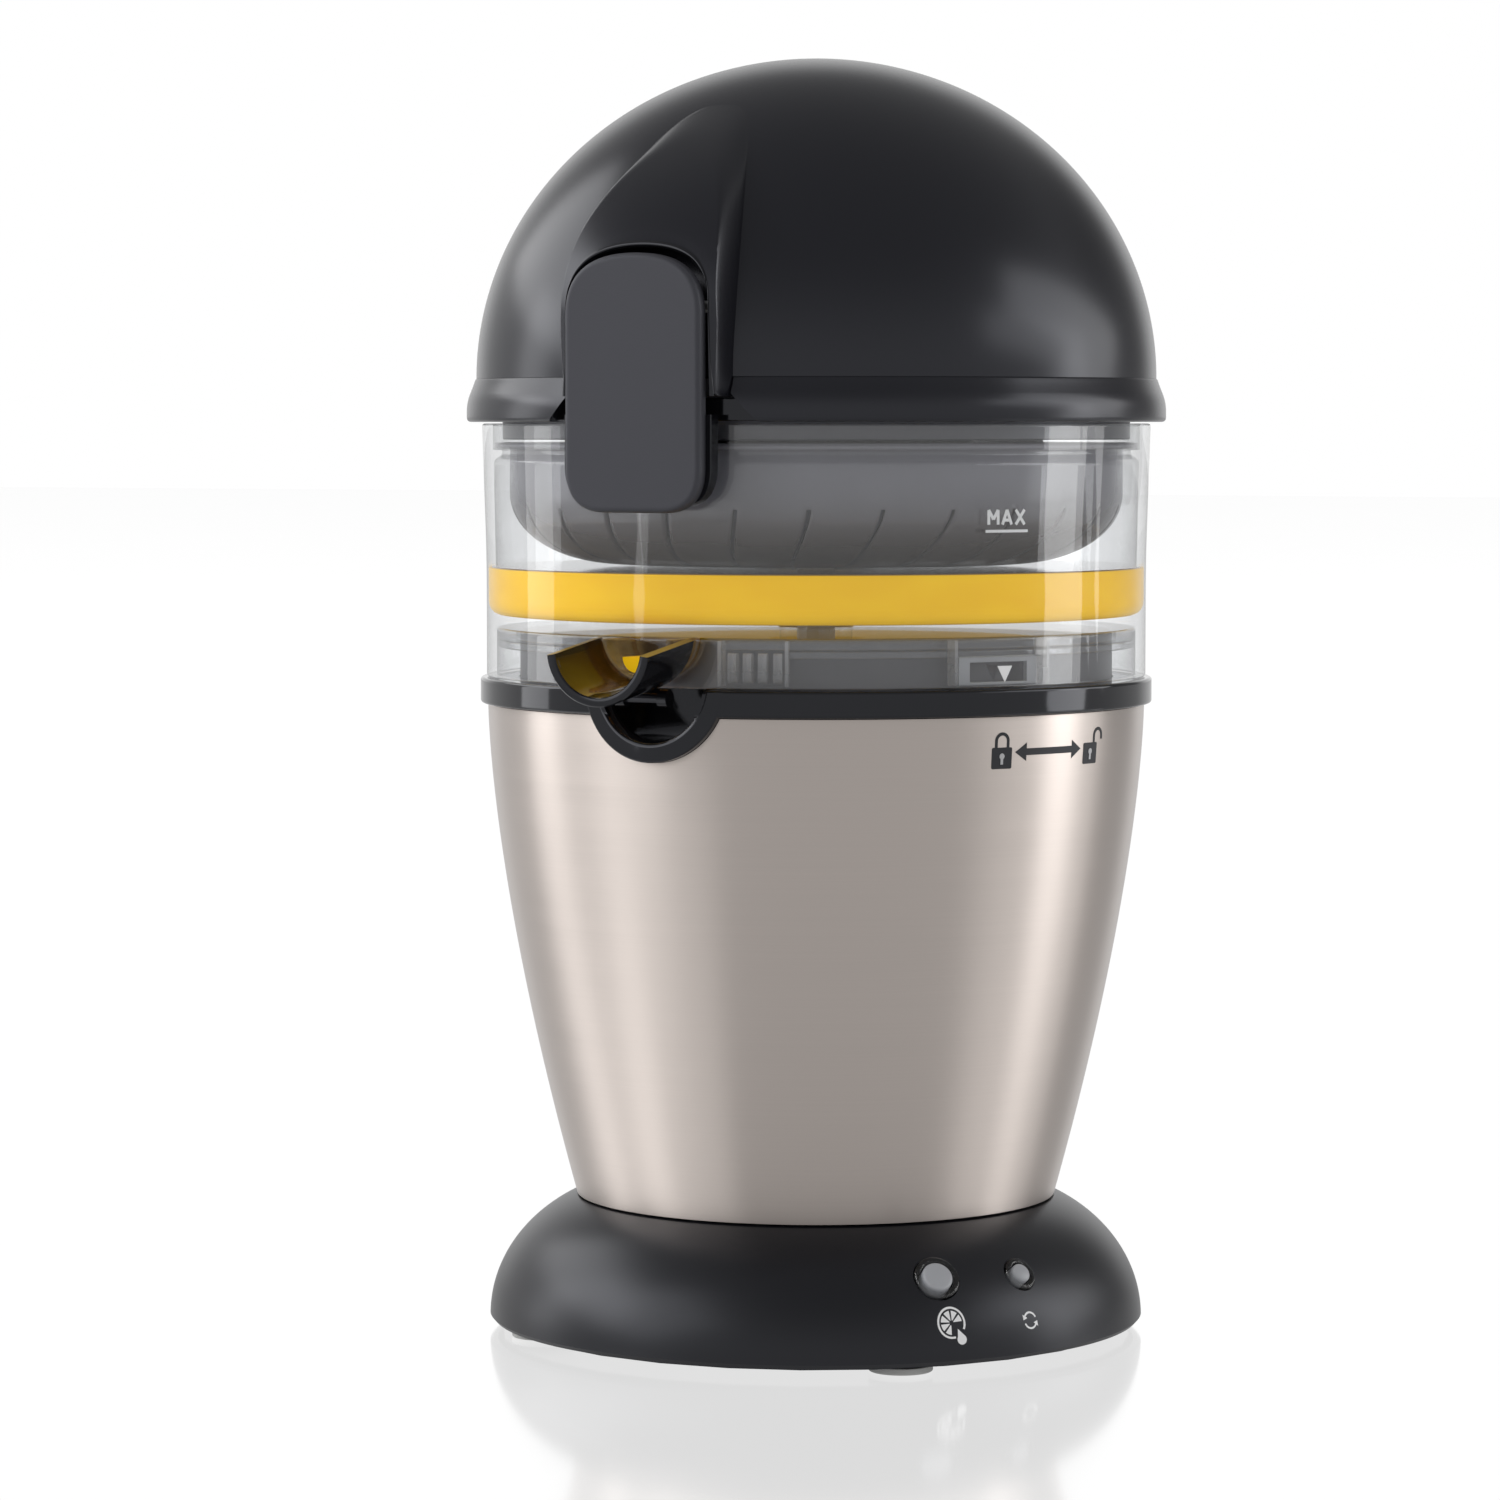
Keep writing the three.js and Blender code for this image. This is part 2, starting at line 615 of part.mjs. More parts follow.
// ---------- bowl ----------
function outletShape(radius) {
  const shape = new THREE.Shape();
  shape.absarc(0, BOWL_UNDERSIDE, radius, Math.PI, 2 * Math.PI, false);
  shape.lineTo(radius, BOWL_UNDERSIDE + 1);
  shape.lineTo(-radius, BOWL_UNDERSIDE + 1);
  return shape;
}

function juiceBowl() {
  const inner = BOWL_RADIUS - BOWL_WALL;
  const shell = turned([
    [BOWL_RIM_RADIUS, BOWL_RIM],
    [BOWL_RADIUS, 200],
    [BOWL_RADIUS, BOWL_SKIRT],
    [inner, BOWL_SKIRT],
    [inner, BOWL_UNDERSIDE],
    [CHIMNEY_RADIUS - 2.4, BOWL_UNDERSIDE],
    [CHIMNEY_RADIUS - 2.4, CHIMNEY_TOP],
    [CHIMNEY_RADIUS, CHIMNEY_TOP],
    [CHIMNEY_RADIUS, BOWL_FLOOR],
    [inner - 3, BOWL_FLOOR],
    [inner, BOWL_FLOOR + 3],
    [inner + 0.7, 224.4],
    [81, 226],
    [81, 227.2],
    [83.3, 227.2],
    [83.3, BOWL_RIM],
  ]);
  const lugs = lugAzimuths().map((a) => lug(77.6, inner + 1, 169.8, 173, a, LUG_SPREAD));
  const turretRoom = rod(OUTLET_START, 150, BOWL_UNDERSIDE, 96);
  const channel = cut(pushedAlongY(outletShape(OUTLET_RADIUS), -OUTLET_END, -64, 10), turretRoom);
  const hingeLug = block([-4, 4], [-90.6, -87.4], [164.9, 172]);
  const catchRidge = pushedAlongY(polygon([[-14, 222], [14, 222], [14, 226], [-14, 226]]), -88.1, -84.6);
  const body = join(shell, ...lugs, channel, hingeLug, catchRidge, rear(catchRidge));
  const hollow = cut(pushedAlongY(outletShape(OUTLET_RADIUS - OUTLET_WALL), -OUTLET_END - 5, -64, 10),
    rod(OUTLET_START + OUTLET_WALL, 150, 200, 96));
  const drain = block([-7, 7], [-82.2, -78.9], [180, BOWL_FLOOR + 1]);
  const pinHole = rodAlong('x', 1.5, -10, 10, 12).translate(0, ...TROUGH_HINGE);
  const open = common(hollow, block([-20, 20], [-100, -60], [160, BOWL_UNDERSIDE]));
  return cut(body, open, drain, pinHole);
}

function dripSpout() {
  const outside = rodAlong('y', TROUGH_RADIUS, -TROUGH_END, -TROUGH_START, 32);
  const inside = rodAlong('y', TROUGH_RADIUS - TROUGH_WALL, -TROUGH_END - 5, -TROUGH_START + 5, 32);
  const lowerHalf = block([-20, 20], [-130, -80], [-30, -1.9]);
  const bed = common(cut(outside, inside), lowerHalf);
  const slope = THREE.MathUtils.degToRad(TROUGH_SLOPE);
  const trough = bed.translate(0, TROUGH_END, 0).rotateX(slope).translate(0, -TROUGH_END, 179.9);
  const ears = [-1, 1].map((side) => {
    const span = [4.6 * side, 7.4 * side].sort((a, b) => a - b);
    return join(block(span, [-93.5, TROUGH_HINGE[0]], [165.2, 169.4]),
      rodAlong('x', 2.1, ...span, 16).translate(0, ...TROUGH_HINGE));
  });
  const pinHole = rodAlong('x', 1.5, -20, 20, 12).translate(0, ...TROUGH_HINGE);
  return cut(join(trough, ...ears), pinHole);
}

function strainer() {
  const corner = (radius, centreHeight, from, to) => steps(from, to, 2).map((angle) => [
    STRAINER_RADIUS - STRAINER_CORNER + radius * Math.cos(angle),
    centreHeight + radius * Math.sin(angle),
  ]);
  const height = STRAINER_FLOOR + STRAINER_CORNER;
  const hub = CHIMNEY_RADIUS + 0.8;
  const body = turned([
    [82.9, STRAINER_TOP - 1.6],
    [82.9, STRAINER_TOP],
    [STRAINER_RADIUS - STRAINER_WALL, STRAINER_TOP],
    ...corner(STRAINER_CORNER - STRAINER_WALL, height, 0, -Math.PI / 2),
    [hub + 1.8, STRAINER_FLOOR + STRAINER_WALL],
    [hub + 1.8, 207.2],
    [hub, 207.2],
    [hub, STRAINER_FLOOR],
    ...corner(STRAINER_CORNER, height, -Math.PI / 2, 0),
    [STRAINER_RADIUS, STRAINER_TOP - 1.6],
  ]);
  const slot = block([56, 80], [-1.1, 1.1], [190, height - 3]);
  const slots = Array.from({ length: SLOT_COUNT }, (_, i) => slot.clone()
    .rotateZ((2 * Math.PI * (i + 0.5)) / SLOT_COUNT));
  return cut(body, ...slots);
}

// ---------- lid ----------
function latchArch(halfWidth, bottom, top, corner) {
  const shape = new THREE.Shape();
  const crown = 15;
  shape.moveTo(-halfWidth + corner, bottom);
  shape.lineTo(halfWidth - corner, bottom);
  shape.quadraticCurveTo(halfWidth, bottom, halfWidth, bottom + corner);
  shape.lineTo(halfWidth, top - crown);
  shape.quadraticCurveTo(halfWidth, top, 0, top);
  shape.quadraticCurveTo(-halfWidth, top, -halfWidth, top - crown);
  shape.lineTo(-halfWidth, bottom + corner);
  shape.quadraticCurveTo(-halfWidth, bottom, -halfWidth + corner, bottom);
  return shape;
}

function bossPad() {
  const arch = new THREE.Shape();
  arch.moveTo(-BOSS_HALF_WIDTH, BOSS_BOTTOM);
  arch.lineTo(BOSS_HALF_WIDTH, BOSS_BOTTOM);
  arch.lineTo(BOSS_HALF_WIDTH, BOSS_CENTRE);
  arch.absellipse(0, BOSS_CENTRE, BOSS_HALF_WIDTH, BOSS_ARCH, 0, Math.PI, false);
  const side = new THREE.Shape();
  side.moveTo(-40, BOSS_BOTTOM);
  side.lineTo(-BOSS_FRONT, BOSS_BOTTOM);
  side.lineTo(-BOSS_FRONT, BOSS_CENTRE + 6);
  side.bezierCurveTo(-BOSS_FRONT, BOSS_CENTRE + 26, -76, BOSS_TOP - 16, -46, BOSS_TOP);
  side.lineTo(-40, BOSS_TOP);
  const slab = new THREE.ExtrudeGeometry(side, { depth: 60, bevelEnabled: false, curveSegments: 8 })
    .translate(0, 0, -30)
    .applyMatrix4(new THREE.Matrix4().set(0, 0, 1, 0, 1, 0, 0, 0, 0, 1, 0, 0, 0, 0, 0, 1));
  return common(pushedAlongY(arch, -100, -40, 10), slab);
}

function latchPocket() {
  const opening = latchArch(LATCH_HALF_WIDTH + 0.9, BOSS_BOTTOM - 40, LATCH_TOP + 1.6, 4);
  const shallow = pushedAlongY(opening, -110, -86.3);
  const deep = common(pushedAlongY(opening, -110, -83.6), block([-30, 30], [-110, -80], [262, 290]));
  const pin = rodAlong('x', LATCH_PIN_RADIUS + GAP, -21.8, 21.8, 12)
    .translate(0, -LATCH_PIVOT[0], LATCH_PIVOT[1]);
  return join(shallow, deep, pin);
}

function lidShell() {
  const outside = turned([[0, BOSS_BOTTOM], [LID_RADIUS - 4, BOSS_BOTTOM], [LID_RADIUS - 4, LID_SPRING_LINE],
    ...domeOutline(LID_RADIUS, LID_RISE, 10)]);
  const inside = turned([[0, 200], [LID_RADIUS - LID_WALL, 200],
    ...domeOutline(LID_RADIUS - LID_WALL, LID_RISE - LID_WALL, 7)]);
  const belowDome = cut(rod(120, 200, LID_SPRING_LINE + 0.3, ROUND),
    block([-BOSS_HALF_WIDTH, BOSS_HALF_WIDTH], [-130, -40], [190, 260]),
    block([-BOSS_HALF_WIDTH, BOSS_HALF_WIDTH], [40, 130], [190, 260]));
  const pad = bossPad();
  const pocket = latchPocket();
  return cut(join(outside, pad, rear(pad)), inside, belowDome, pocket, rear(pocket));
}

function lidRim() {
  const top = LID_SPRING_LINE;
  const band = turned([
    [84.6, RIM_BOTTOM],
    [RIM_RADIUS - 0.6, RIM_BOTTOM],
    [RIM_RADIUS, RIM_BOTTOM + 0.8],
    [RIM_RADIUS, top - 6],
    [LID_RADIUS + 0.9, top - 2],
    [LID_RADIUS + 0.2, top],
    [84.9, top],
    [84.9, top - 7],
    [84.6, top - 7],
  ]);
  const half = BOSS_HALF_WIDTH + GAP;
  const sill = BOSS_BOTTOM - GAP;
  const bossRoom = block([-half, half], [-100, -70], [sill, top + 1]);
  const latchRoom = pushedAlongY(polygon([[-half - 7, RIM_BOTTOM - 1], [half + 7, RIM_BOTTOM - 1],
    [half, sill + 1], [-half, sill + 1]]), -100, -86.4);
  const notch = join(bossRoom, latchRoom);
  return cut(band, notch, rear(notch));
}

function lidLiner() {
  return turned([
    [80.8, STRAINER_TOP + 0.7],
    [80.8, 237],
    [83.6, 240],
    [83.6, LID_SPRING_LINE - 0.5],
    [79, LID_SPRING_LINE - 0.5],
    [79, STRAINER_TOP + 0.7],
  ]);
}

function latch() {
  const face = pushedAlongY(latchArch(LATCH_HALF_WIDTH, LATCH_BOTTOM, LATCH_TOP, 11),
    -LATCH_FACE, -LATCH_FACE + LATCH_THICKNESS);
  const [reach, height] = LATCH_PIVOT;
  const barrel = rodAlong('x', 3, -15, 15, 16).translate(0, -reach, height);
  const web = block([-15, 15], [-92, -reach], [height - 3, height + 2]);
  const hook = block([-12, 12], [-92, -88.5], [216.5, 220.5]);
  const pinHole = rodAlong('x', LATCH_PIN_RADIUS + GAP, -30, 30, 12).translate(0, -reach, height);
  return cut(join(face, barrel, web, hook), pinHole);
}

function latchPin() {
  return rodAlong('x', LATCH_PIN_RADIUS, -21.4, 21.4, 12).translate(0, -LATCH_PIVOT[0], LATCH_PIVOT[1]);
}

// ---------- fruit press ----------
function pressCup() {
  const height = CUP_TOP - CUP_RIM;
  const bell = (radius, rise, from, to) => steps(from, to, 5)
    .map((angle) => [radius * Math.cos(angle), CUP_RIM + rise * Math.sin(angle)]);
  const outer = bell(CUP_RADIUS, height, 0, Math.PI / 2);
  const inner = bell(CUP_RADIUS - CUP_WALL, height - CUP_WALL, Math.PI / 2, 0);
  outer[5][0] = 0;
  inner[0][0] = 0;
  const shell = turned([[0, CUP_RIM], ...outer], 24);
  const hollow = turned([[0, CUP_RIM - 1], [CUP_RADIUS - CUP_WALL, CUP_RIM - 1], ...inner.reverse()], 24);
  const fin = block([CUP_RADIUS - 9, CUP_RADIUS - 3.4], [-0.8, 0.8], [CUP_RIM + 3, CUP_RIM + 11]);
  const fins = [30, 90, 150, 210, 270, 330].map((a) => fin.clone().rotateZ(THREE.MathUtils.degToRad(a)));
  return join(cut(shell, hollow), ...fins);
}

function pressStem() {
  const top = GUIDE_BOTTOM + 5;
  return turned([
    [0, CUP_TOP + GAP],
    [PRESS_STEM_RADIUS, CUP_TOP + 2.2],
    [PRESS_STEM_RADIUS, GUIDE_BOTTOM + 2 + GAP],
    [10.6, GUIDE_BOTTOM + 2 + GAP],
    [10.6, top],
    [0, top],
  ], SMALL);
}

function pressGuide() {
  return turned([
    [13, GUIDE_BOTTOM],
    [13, GUIDE_TOP],
    [11.2, GUIDE_TOP],
    [11.2, GUIDE_BOTTOM + 2],
    [PRESS_STEM_RADIUS + GAP, GUIDE_BOTTOM + 2],
    [PRESS_STEM_RADIUS + GAP, GUIDE_BOTTOM],
  ], 24);
}

// ---------- buttons: drawn with their axis on Z, the base's surface at height 0 ----------
function bezel({ bezel: radius, cap }) {
  return turned([
    [radius, -8],
    [radius, 0.2],
    [radius - 0.8, 0.9],
    [cap + GAP, 0.9],
    [cap + GAP, -7],
    [1.3, -7],
    [1.3, -8],
  ], 16);
}

function buttonCap({ cap }) {
  return turned([
    [0, -7.4],
    [1, -7.4],
    [1, -3.2],
    [cap, -3.2],
    [cap, 1],
    [cap * 0.6, 1.7],
    [0, 1.9],
  ], SMALL);
}

function pressSwitch() {
  return join(block([-4, 4], [-4, 4], [-16, -10.4]), rod(1.6, -10.5, -9.3, 12));
}

// ---------- assembly ----------
const machine = new THREE.Group();
machine.name = 'citrus_press_juicer';

function place(parent, name, geometry, look, position = [0, 0, 0]) {
  const mesh = new THREE.Mesh(toGeometry(toSolid(geometry)), look);
  mesh.name = name;
  mesh.position.set(...position);
  parent.add(mesh);
  return mesh;
}

const housing = new THREE.Group();
place(housing, 'base_shell', baseShell(), satinBlack());
place(housing, 'bottom_plate', bottomPlate(), satinBlack());
const CORNERS = ['front_right', 'rear_right', 'rear_left', 'front_left'];
fourAround(FOOT_PITCH_RADIUS, 45).forEach(([x, y], i) => {
  place(housing, `foot_${CORNERS[i]}`, foot(), rubber(), [x, y, 0]);
});
fourAround(COLUMN_RADIUS, 0).forEach(([x, y], i) => {
  place(housing, `bottom_screw_${i + 1}`, bottomScrew(), steel(), [x, y, 0]);
});
place(housing, 'steel_sleeve', steelSleeve(), steel());
place(housing, 'inner_housing', innerHousing(), darkGrey());
place(housing, 'collar_ring', collarRing(), glossBlack());
place(housing, 'top_deck', topDeck(), darkGrey());
place(housing, 'spindle_seal', ring(8, SPINDLE_RADIUS + GAP, 175.8, 180.6, SMALL), rubber());
place(housing, 'upper_bearing', ring(11, SPINDLE_RADIUS + GAP, 165.2, 174.1, SMALL), brass());
place(housing, 'lower_bearing', ring(LOWER_BEARING_RADIUS, SPINDLE_RADIUS + GAP, 140, 150, SMALL), brass());
place(housing, 'motor_mount_plate', mountPlate(), steel());
place(housing, 'motor_can', motorCan(), steel(), [MOTOR_X, 0, 0]);
place(housing, 'motor_end_cap', motorCap(), steel(), [MOTOR_X, 0, 0]);
place(housing, 'motor_stator', ring(MOTOR_RADIUS - 2.4, 15, 63, 97, 24), darkGrey(), [MOTOR_X, 0, 0]);
place(housing, 'gearbox_case', gearboxCase(), darkGrey());
place(housing, 'gearbox_cover', gearboxCover(), darkGrey());
GEARBOX_SCREWS.forEach(([x, y], i) => {
  place(housing, `gearbox_screw_${i + 1}`, gearboxScrew(), steel(), [x, y, 0]);
});
place(housing, 'idler_pin', rod(IDLER_PIN_RADIUS, 112, 145.5, TINY), steel(), [IDLER_X, 0, 0]);
place(housing, 'control_board', block([16, 48], [-38, -4], [7, 8.6]), circuit());
place(housing, 'cord_gland', ring(6, 4, 70, 84.5, SMALL).rotateX(-Math.PI / 2), satinBlack(), [0, 0, 16]);
machine.add(housing);

const drive = new THREE.Group();
place(drive, 'motor_rotor', motorRotor(), steel(), [MOTOR_X, 0, 0]);
place(drive, 'idler_gear', idlerGear(), nylon(), [IDLER_X, 0, 0]);
place(drive, 'output_gear', outputGear(), nylon());
place(drive, 'drive_spindle', driveSpindle(), steel());
place(drive, 'reamer', reamer(), smokyPlastic());
machine.add(drive);

const bowl = new THREE.Group();
place(bowl, 'juice_bowl', juiceBowl(), clearPlastic());
place(bowl, 'strainer', strainer(), smokyPlastic());
place(bowl, 'drip_spout', dripSpout(), glossBlack());
place(bowl, 'spout_pin', rodAlong('x', 1.2, -7.2, 7.2, 12), steel(), [0, ...TROUGH_HINGE]);
machine.add(bowl);

const lid = new THREE.Group();
place(lid, 'lid_shell', lidShell(), satinBlack());
place(lid, 'lid_rim', lidRim(), satinBlack());
place(lid, 'lid_liner', lidLiner(), glossBlack());
place(lid, 'press_guide', pressGuide(), satinBlack());
place(lid, 'press_cup', pressCup(), satinBlack());
place(lid, 'press_stem', pressStem(), satinBlack());
place(lid, 'press_spring', coil(15.6, 0.8, CUP_TOP + 1.2, 318, 5), steel());
place(lid, 'latch_front', latch(), matteCharcoal());
place(lid, 'latch_pin_front', latchPin(), steel());
place(lid, 'latch_rear', rear(latch()), matteCharcoal());
place(lid, 'latch_pin_rear', rear(latchPin()), steel());
machine.add(lid);

for (const [name, button] of [['start', START_BUTTON], ['reverse', REVERSE_BUTTON]]) {
  const { point, normal } = buttonPlace(button);
  const control = new THREE.Group();
  control.position.copy(point);
  control.quaternion.setFromUnitVectors(new THREE.Vector3(0, 0, 1), normal);
  place(control, `${name}_bezel`, bezel(button), clearPlastic());
  place(control, `${name}_button`, buttonCap(button), darkGrey());
  place(control, `${name}_spring`, coil(1.75, 0.25, -6.8, -3.4, 3, 8), steel());
  place(control, `${name}_switch`, pressSwitch(), darkGrey());
  machine.add(control);
}

export default machine;
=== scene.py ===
# %% [markdown]
# A citrus press: a flared black foot, a brushed steel motor body, a clear bowl with a drip
# spout, and a domed black lid with latches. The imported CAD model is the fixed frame: it says
# where everything is and what moves. Here each visible piece gets its fine surface and finish.

# %% Load the frame
import json
import math
import bmesh
import bpy
import numpy as np
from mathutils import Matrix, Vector

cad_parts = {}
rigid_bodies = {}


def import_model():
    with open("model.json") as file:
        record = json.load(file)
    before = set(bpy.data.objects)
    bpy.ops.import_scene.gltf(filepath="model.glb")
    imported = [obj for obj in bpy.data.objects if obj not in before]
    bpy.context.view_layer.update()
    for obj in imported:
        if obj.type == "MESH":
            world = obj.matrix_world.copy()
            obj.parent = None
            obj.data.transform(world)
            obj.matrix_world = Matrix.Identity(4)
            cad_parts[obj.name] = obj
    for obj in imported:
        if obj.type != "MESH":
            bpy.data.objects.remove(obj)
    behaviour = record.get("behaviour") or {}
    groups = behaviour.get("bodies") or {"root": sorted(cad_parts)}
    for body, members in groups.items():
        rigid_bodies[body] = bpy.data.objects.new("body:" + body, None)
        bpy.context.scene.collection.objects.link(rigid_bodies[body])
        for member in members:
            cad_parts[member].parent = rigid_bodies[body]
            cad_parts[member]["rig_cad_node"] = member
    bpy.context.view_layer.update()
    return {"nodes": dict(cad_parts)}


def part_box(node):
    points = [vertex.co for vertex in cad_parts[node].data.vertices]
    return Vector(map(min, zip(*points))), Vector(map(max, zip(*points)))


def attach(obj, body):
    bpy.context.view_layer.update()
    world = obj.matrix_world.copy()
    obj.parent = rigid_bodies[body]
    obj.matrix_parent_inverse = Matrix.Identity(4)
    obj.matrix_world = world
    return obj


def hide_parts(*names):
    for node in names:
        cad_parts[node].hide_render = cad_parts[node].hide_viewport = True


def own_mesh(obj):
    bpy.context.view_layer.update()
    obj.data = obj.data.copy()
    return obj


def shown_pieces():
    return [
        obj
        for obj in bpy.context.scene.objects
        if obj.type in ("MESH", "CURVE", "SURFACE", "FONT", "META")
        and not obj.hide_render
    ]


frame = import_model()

# %% [markdown]
# Sizes are in millimetres, as a maker would note them, and become metres only when a mesh is
# made. Heights and radii that the CAD pieces already hold are read from their boxes, so a
# change there is followed here.


# %% Driving sizes
def extent(node):
    """Lowest and highest corner of a CAD node, in millimetres."""
    low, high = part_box(node)
    return np.array(low) * 1000, np.array(high) * 1000


def radius_of(node):
    """Largest distance from the upright axis, along X, in millimetres."""
    return float(extent(node)[1][0])


def bottom_of(node):
    return float(extent(node)[0][2])


def top_of(node):
    return float(extent(node)[1][2])


BASE_R = radius_of("base_shell")
BASE_LOW, BASE_TOP = bottom_of("base_shell"), top_of("base_shell")
FLARE_RISE, FLARE_REACH = 35.0, 40.2
SLEEVE_LOW, SLEEVE_TOP = bottom_of("steel_sleeve"), top_of("steel_sleeve")
SLEEVE_TOP_R, SLEEVE_TAPER, SLEEVE_CURVE = 84.7, 22.7, 1.53
COLLAR_R, COLLAR_TOP = radius_of("collar_ring"), top_of("collar_ring")
COLLAR_LOW = 162.3
RECESS_R, RECESS_RIM_R, RECESS_Z = 14.2, 19.7, 170.6
TURRET_R, TURRET_TOP = 76.4, top_of("top_deck")
BOWL_R, BOWL_RIM_R = 85.0, radius_of("juice_bowl")
BOWL_SKIRT, BOWL_RIM = COLLAR_TOP + 0.3, top_of("juice_bowl")
BOWL_FLOOR, BOWL_UNDER = 184.6, 181.6
JUICE_TOP = 197.0
STRAINER_R, STRAINER_TOP, STRAINER_FLOOR = 77.6, top_of("strainer"), bottom_of("strainer")
RIM_R, RIM_LOW, RIM_TOP = radius_of("lid_rim"), bottom_of("lid_rim"), top_of("lid_rim")
DOME_R, DOME_TOP = 87.5, top_of("lid_shell")
DOME_RISE = DOME_TOP - RIM_TOP
LATCH_FACE = -float(extent("latch_front")[0][1])
LATCH_LOW, LATCH_TOP = bottom_of("latch_front"), top_of("latch_front")
LATCH_HALF = float(extent("latch_front")[1][0])
print(f"lid {2 * RIM_R:.0f} mm across, machine {DOME_TOP:.0f} mm tall")

# %% [markdown]
# The camera comes first, because every comparison needs it. It stands about 1.4 m away, level
# with the bowl's rim, 28 degrees round to the machine's right, with a long lens so that the
# verticals stay nearly parallel.

# %% Camera
camera = bpy.data.objects.new("camera", bpy.data.cameras.new("camera"))
bpy.context.collection.objects.link(camera)
camera.location = (0.6474, -1.2074, 0.2335)
aim = Vector((-0.01504, -0.00806, 0.1495)) - camera.location
camera.rotation_euler = aim.to_track_quat("-Z", "Y").to_euler()
camera.data.lens = 127.2
camera.data.clip_start = 0.05
bpy.context.scene.camera = camera

# %% [markdown]
# Shader maths reads best as sums and products, so a small class wraps a node's output and
# turns +, -, * and ** into Math nodes. Everything else comes from one method that adds a node
# from its type, its settings and its inputs.


# %% Shader helpers
class Wire:
    """A node output that can be used in Python expressions."""

    def __init__(self, shader, socket):
        self.shader = shader
        self.socket = socket

    def __add__(self, other):
        return self.shader.math("ADD", self, other)

    def __mul__(self, other):
        return self.shader.math("MULTIPLY", self, other)

    def __sub__(self, other):
        return self.shader.math("SUBTRACT", self, other)

    def __rsub__(self, other):
        return self.shader.math("SUBTRACT", other, self)

    def __pow__(self, other):
        return self.shader.math("POWER", self, other)

    __radd__ = __add__
    __rmul__ = __mul__


class Shader:
    """The node tree of one material, or of the room, built node by node."""

    def __init__(self, name, kind="materials"):
        self.material = getattr(bpy.data, kind).new(name)
        self.material.use_nodes = True
        self.tree = self.material.node_tree
        self.tree.nodes.clear()

    def node(self, kind, settings=None, inputs=None, output=0):
        made = self.tree.nodes.new(kind)
        for key, value in (settings or {}).items():
            if key == "stops":
                for element, (place, colour) in zip(made.color_ramp.elements, value):
                    element.position = place
                    element.color = colour
            else:
                setattr(made, key, value)
        for key, value in (inputs or {}).items():
            if isinstance(value, Wire):
                self.tree.links.new(value.socket, made.inputs[key])
            else:
                made.inputs[key].default_value = value
        return Wire(self, made.outputs[output]) if len(made.outputs) else None

    def math(self, operation, first, second):
        return self.node("ShaderNodeMath", {"operation": operation}, {0: first, 1: second})

    def place(self, scale=(1, 1, 1)):
        """Object coordinates, stretched by a scale along each axis."""
        where = self.node("ShaderNodeTexCoord", output="Object")
        return self.node("ShaderNodeMapping", {}, {"Vector": where, "Scale": scale})

    def noise(self, scale, detail=2.0, stretch=(1, 1, 1)):
        inputs = {"Vector": self.place(stretch), "Scale": scale, "Detail": detail}
        return self.node("ShaderNodeTexNoise", {}, inputs)

    def blend(self, share, dark, light):
        """Colour between dark and light, by a share from 0 to 1."""
        inputs = {0: share, 6: (*dark, 1), 7: (*light, 1)}
        return self.node("ShaderNodeMix", {"data_type": "RGBA"}, inputs, output=2)

    def bump(self, height, strength, distance):
        inputs = {"Height": height, "Strength": strength, "Distance": distance}
        return self.node("ShaderNodeBump", {}, inputs)

    def principled(self, **inputs):
        named = {key.replace("_", " "): value for key, value in inputs.items()}
        return self.node("ShaderNodeBsdfPrincipled", {}, named)

    def finish(self, surface, kind="ShaderNodeOutputMaterial"):
        self.node(kind, {}, {"Surface": surface})
        return self.material


# %% [markdown]
# Moulded plastic is never one flat grey. The mould leaves a faint texture, and handling makes
# the gloss vary over a few centimetres. So each plastic takes two noises: a coarse one for
# tone and gloss, and a fine one for the moulded skin. A faint blue in the specular tint
# keeps the sheen of the black parts cool.


# %% Moulded plastics
def moulded(name, colour, roughness, grain=0.0006, depth=0.00001, strength=0.2):
    """Opaque plastic: tone and gloss vary coarsely, the skin varies at the grain's size."""
    s = Shader(name)
    patches = s.noise(18, 3)
    skin = s.noise(1 / grain, 2)
    lighter = tuple(min(1, 1.18 * c + 0.0006) for c in colour)
    tone = s.blend(patches, colour, lighter)
    gloss = roughness - 0.03 + patches * 0.06
    relief = s.bump(skin, strength, depth)
    body = s.principled(Base_Color=tone, Roughness=gloss, Normal=relief,
                        Specular_Tint=(0.9, 0.92, 1.0, 1.0))
    return s.finish(body)


satin_black = moulded("satin_black", (0.0075, 0.0075, 0.0105), 0.25)
base_black = moulded("base_black", (0.0035, 0.0035, 0.005), 0.34, 0.0005, 0.00002, 0.25)
gloss_black = moulded("gloss_black", (0.004, 0.004, 0.005), 0.08, 0.002, 0.00001, 0.03)
matte_charcoal = moulded("matte_charcoal", (0.036, 0.036, 0.043), 0.55, 0.0005, 0.00006, 0.5)
turret_grey = moulded("turret_grey", (0.085, 0.085, 0.094), 0.35)
blade_grey = moulded("blade_grey", (0.035, 0.035, 0.05), 0.4)
foot_rubber = moulded("foot_rubber", (0.42, 0.42, 0.41), 0.7, 0.0008, 0.00004, 0.4)
gear_nylon = moulded("gear_nylon", (0.75, 0.71, 0.6), 0.5)
board_green = moulded("board_green", (0.02, 0.12, 0.04), 0.5)
print_white = moulded("print_white", (0.82, 0.82, 0.82), 0.5)
print_black = moulded("print_black", (0.01, 0.01, 0.011), 0.45)

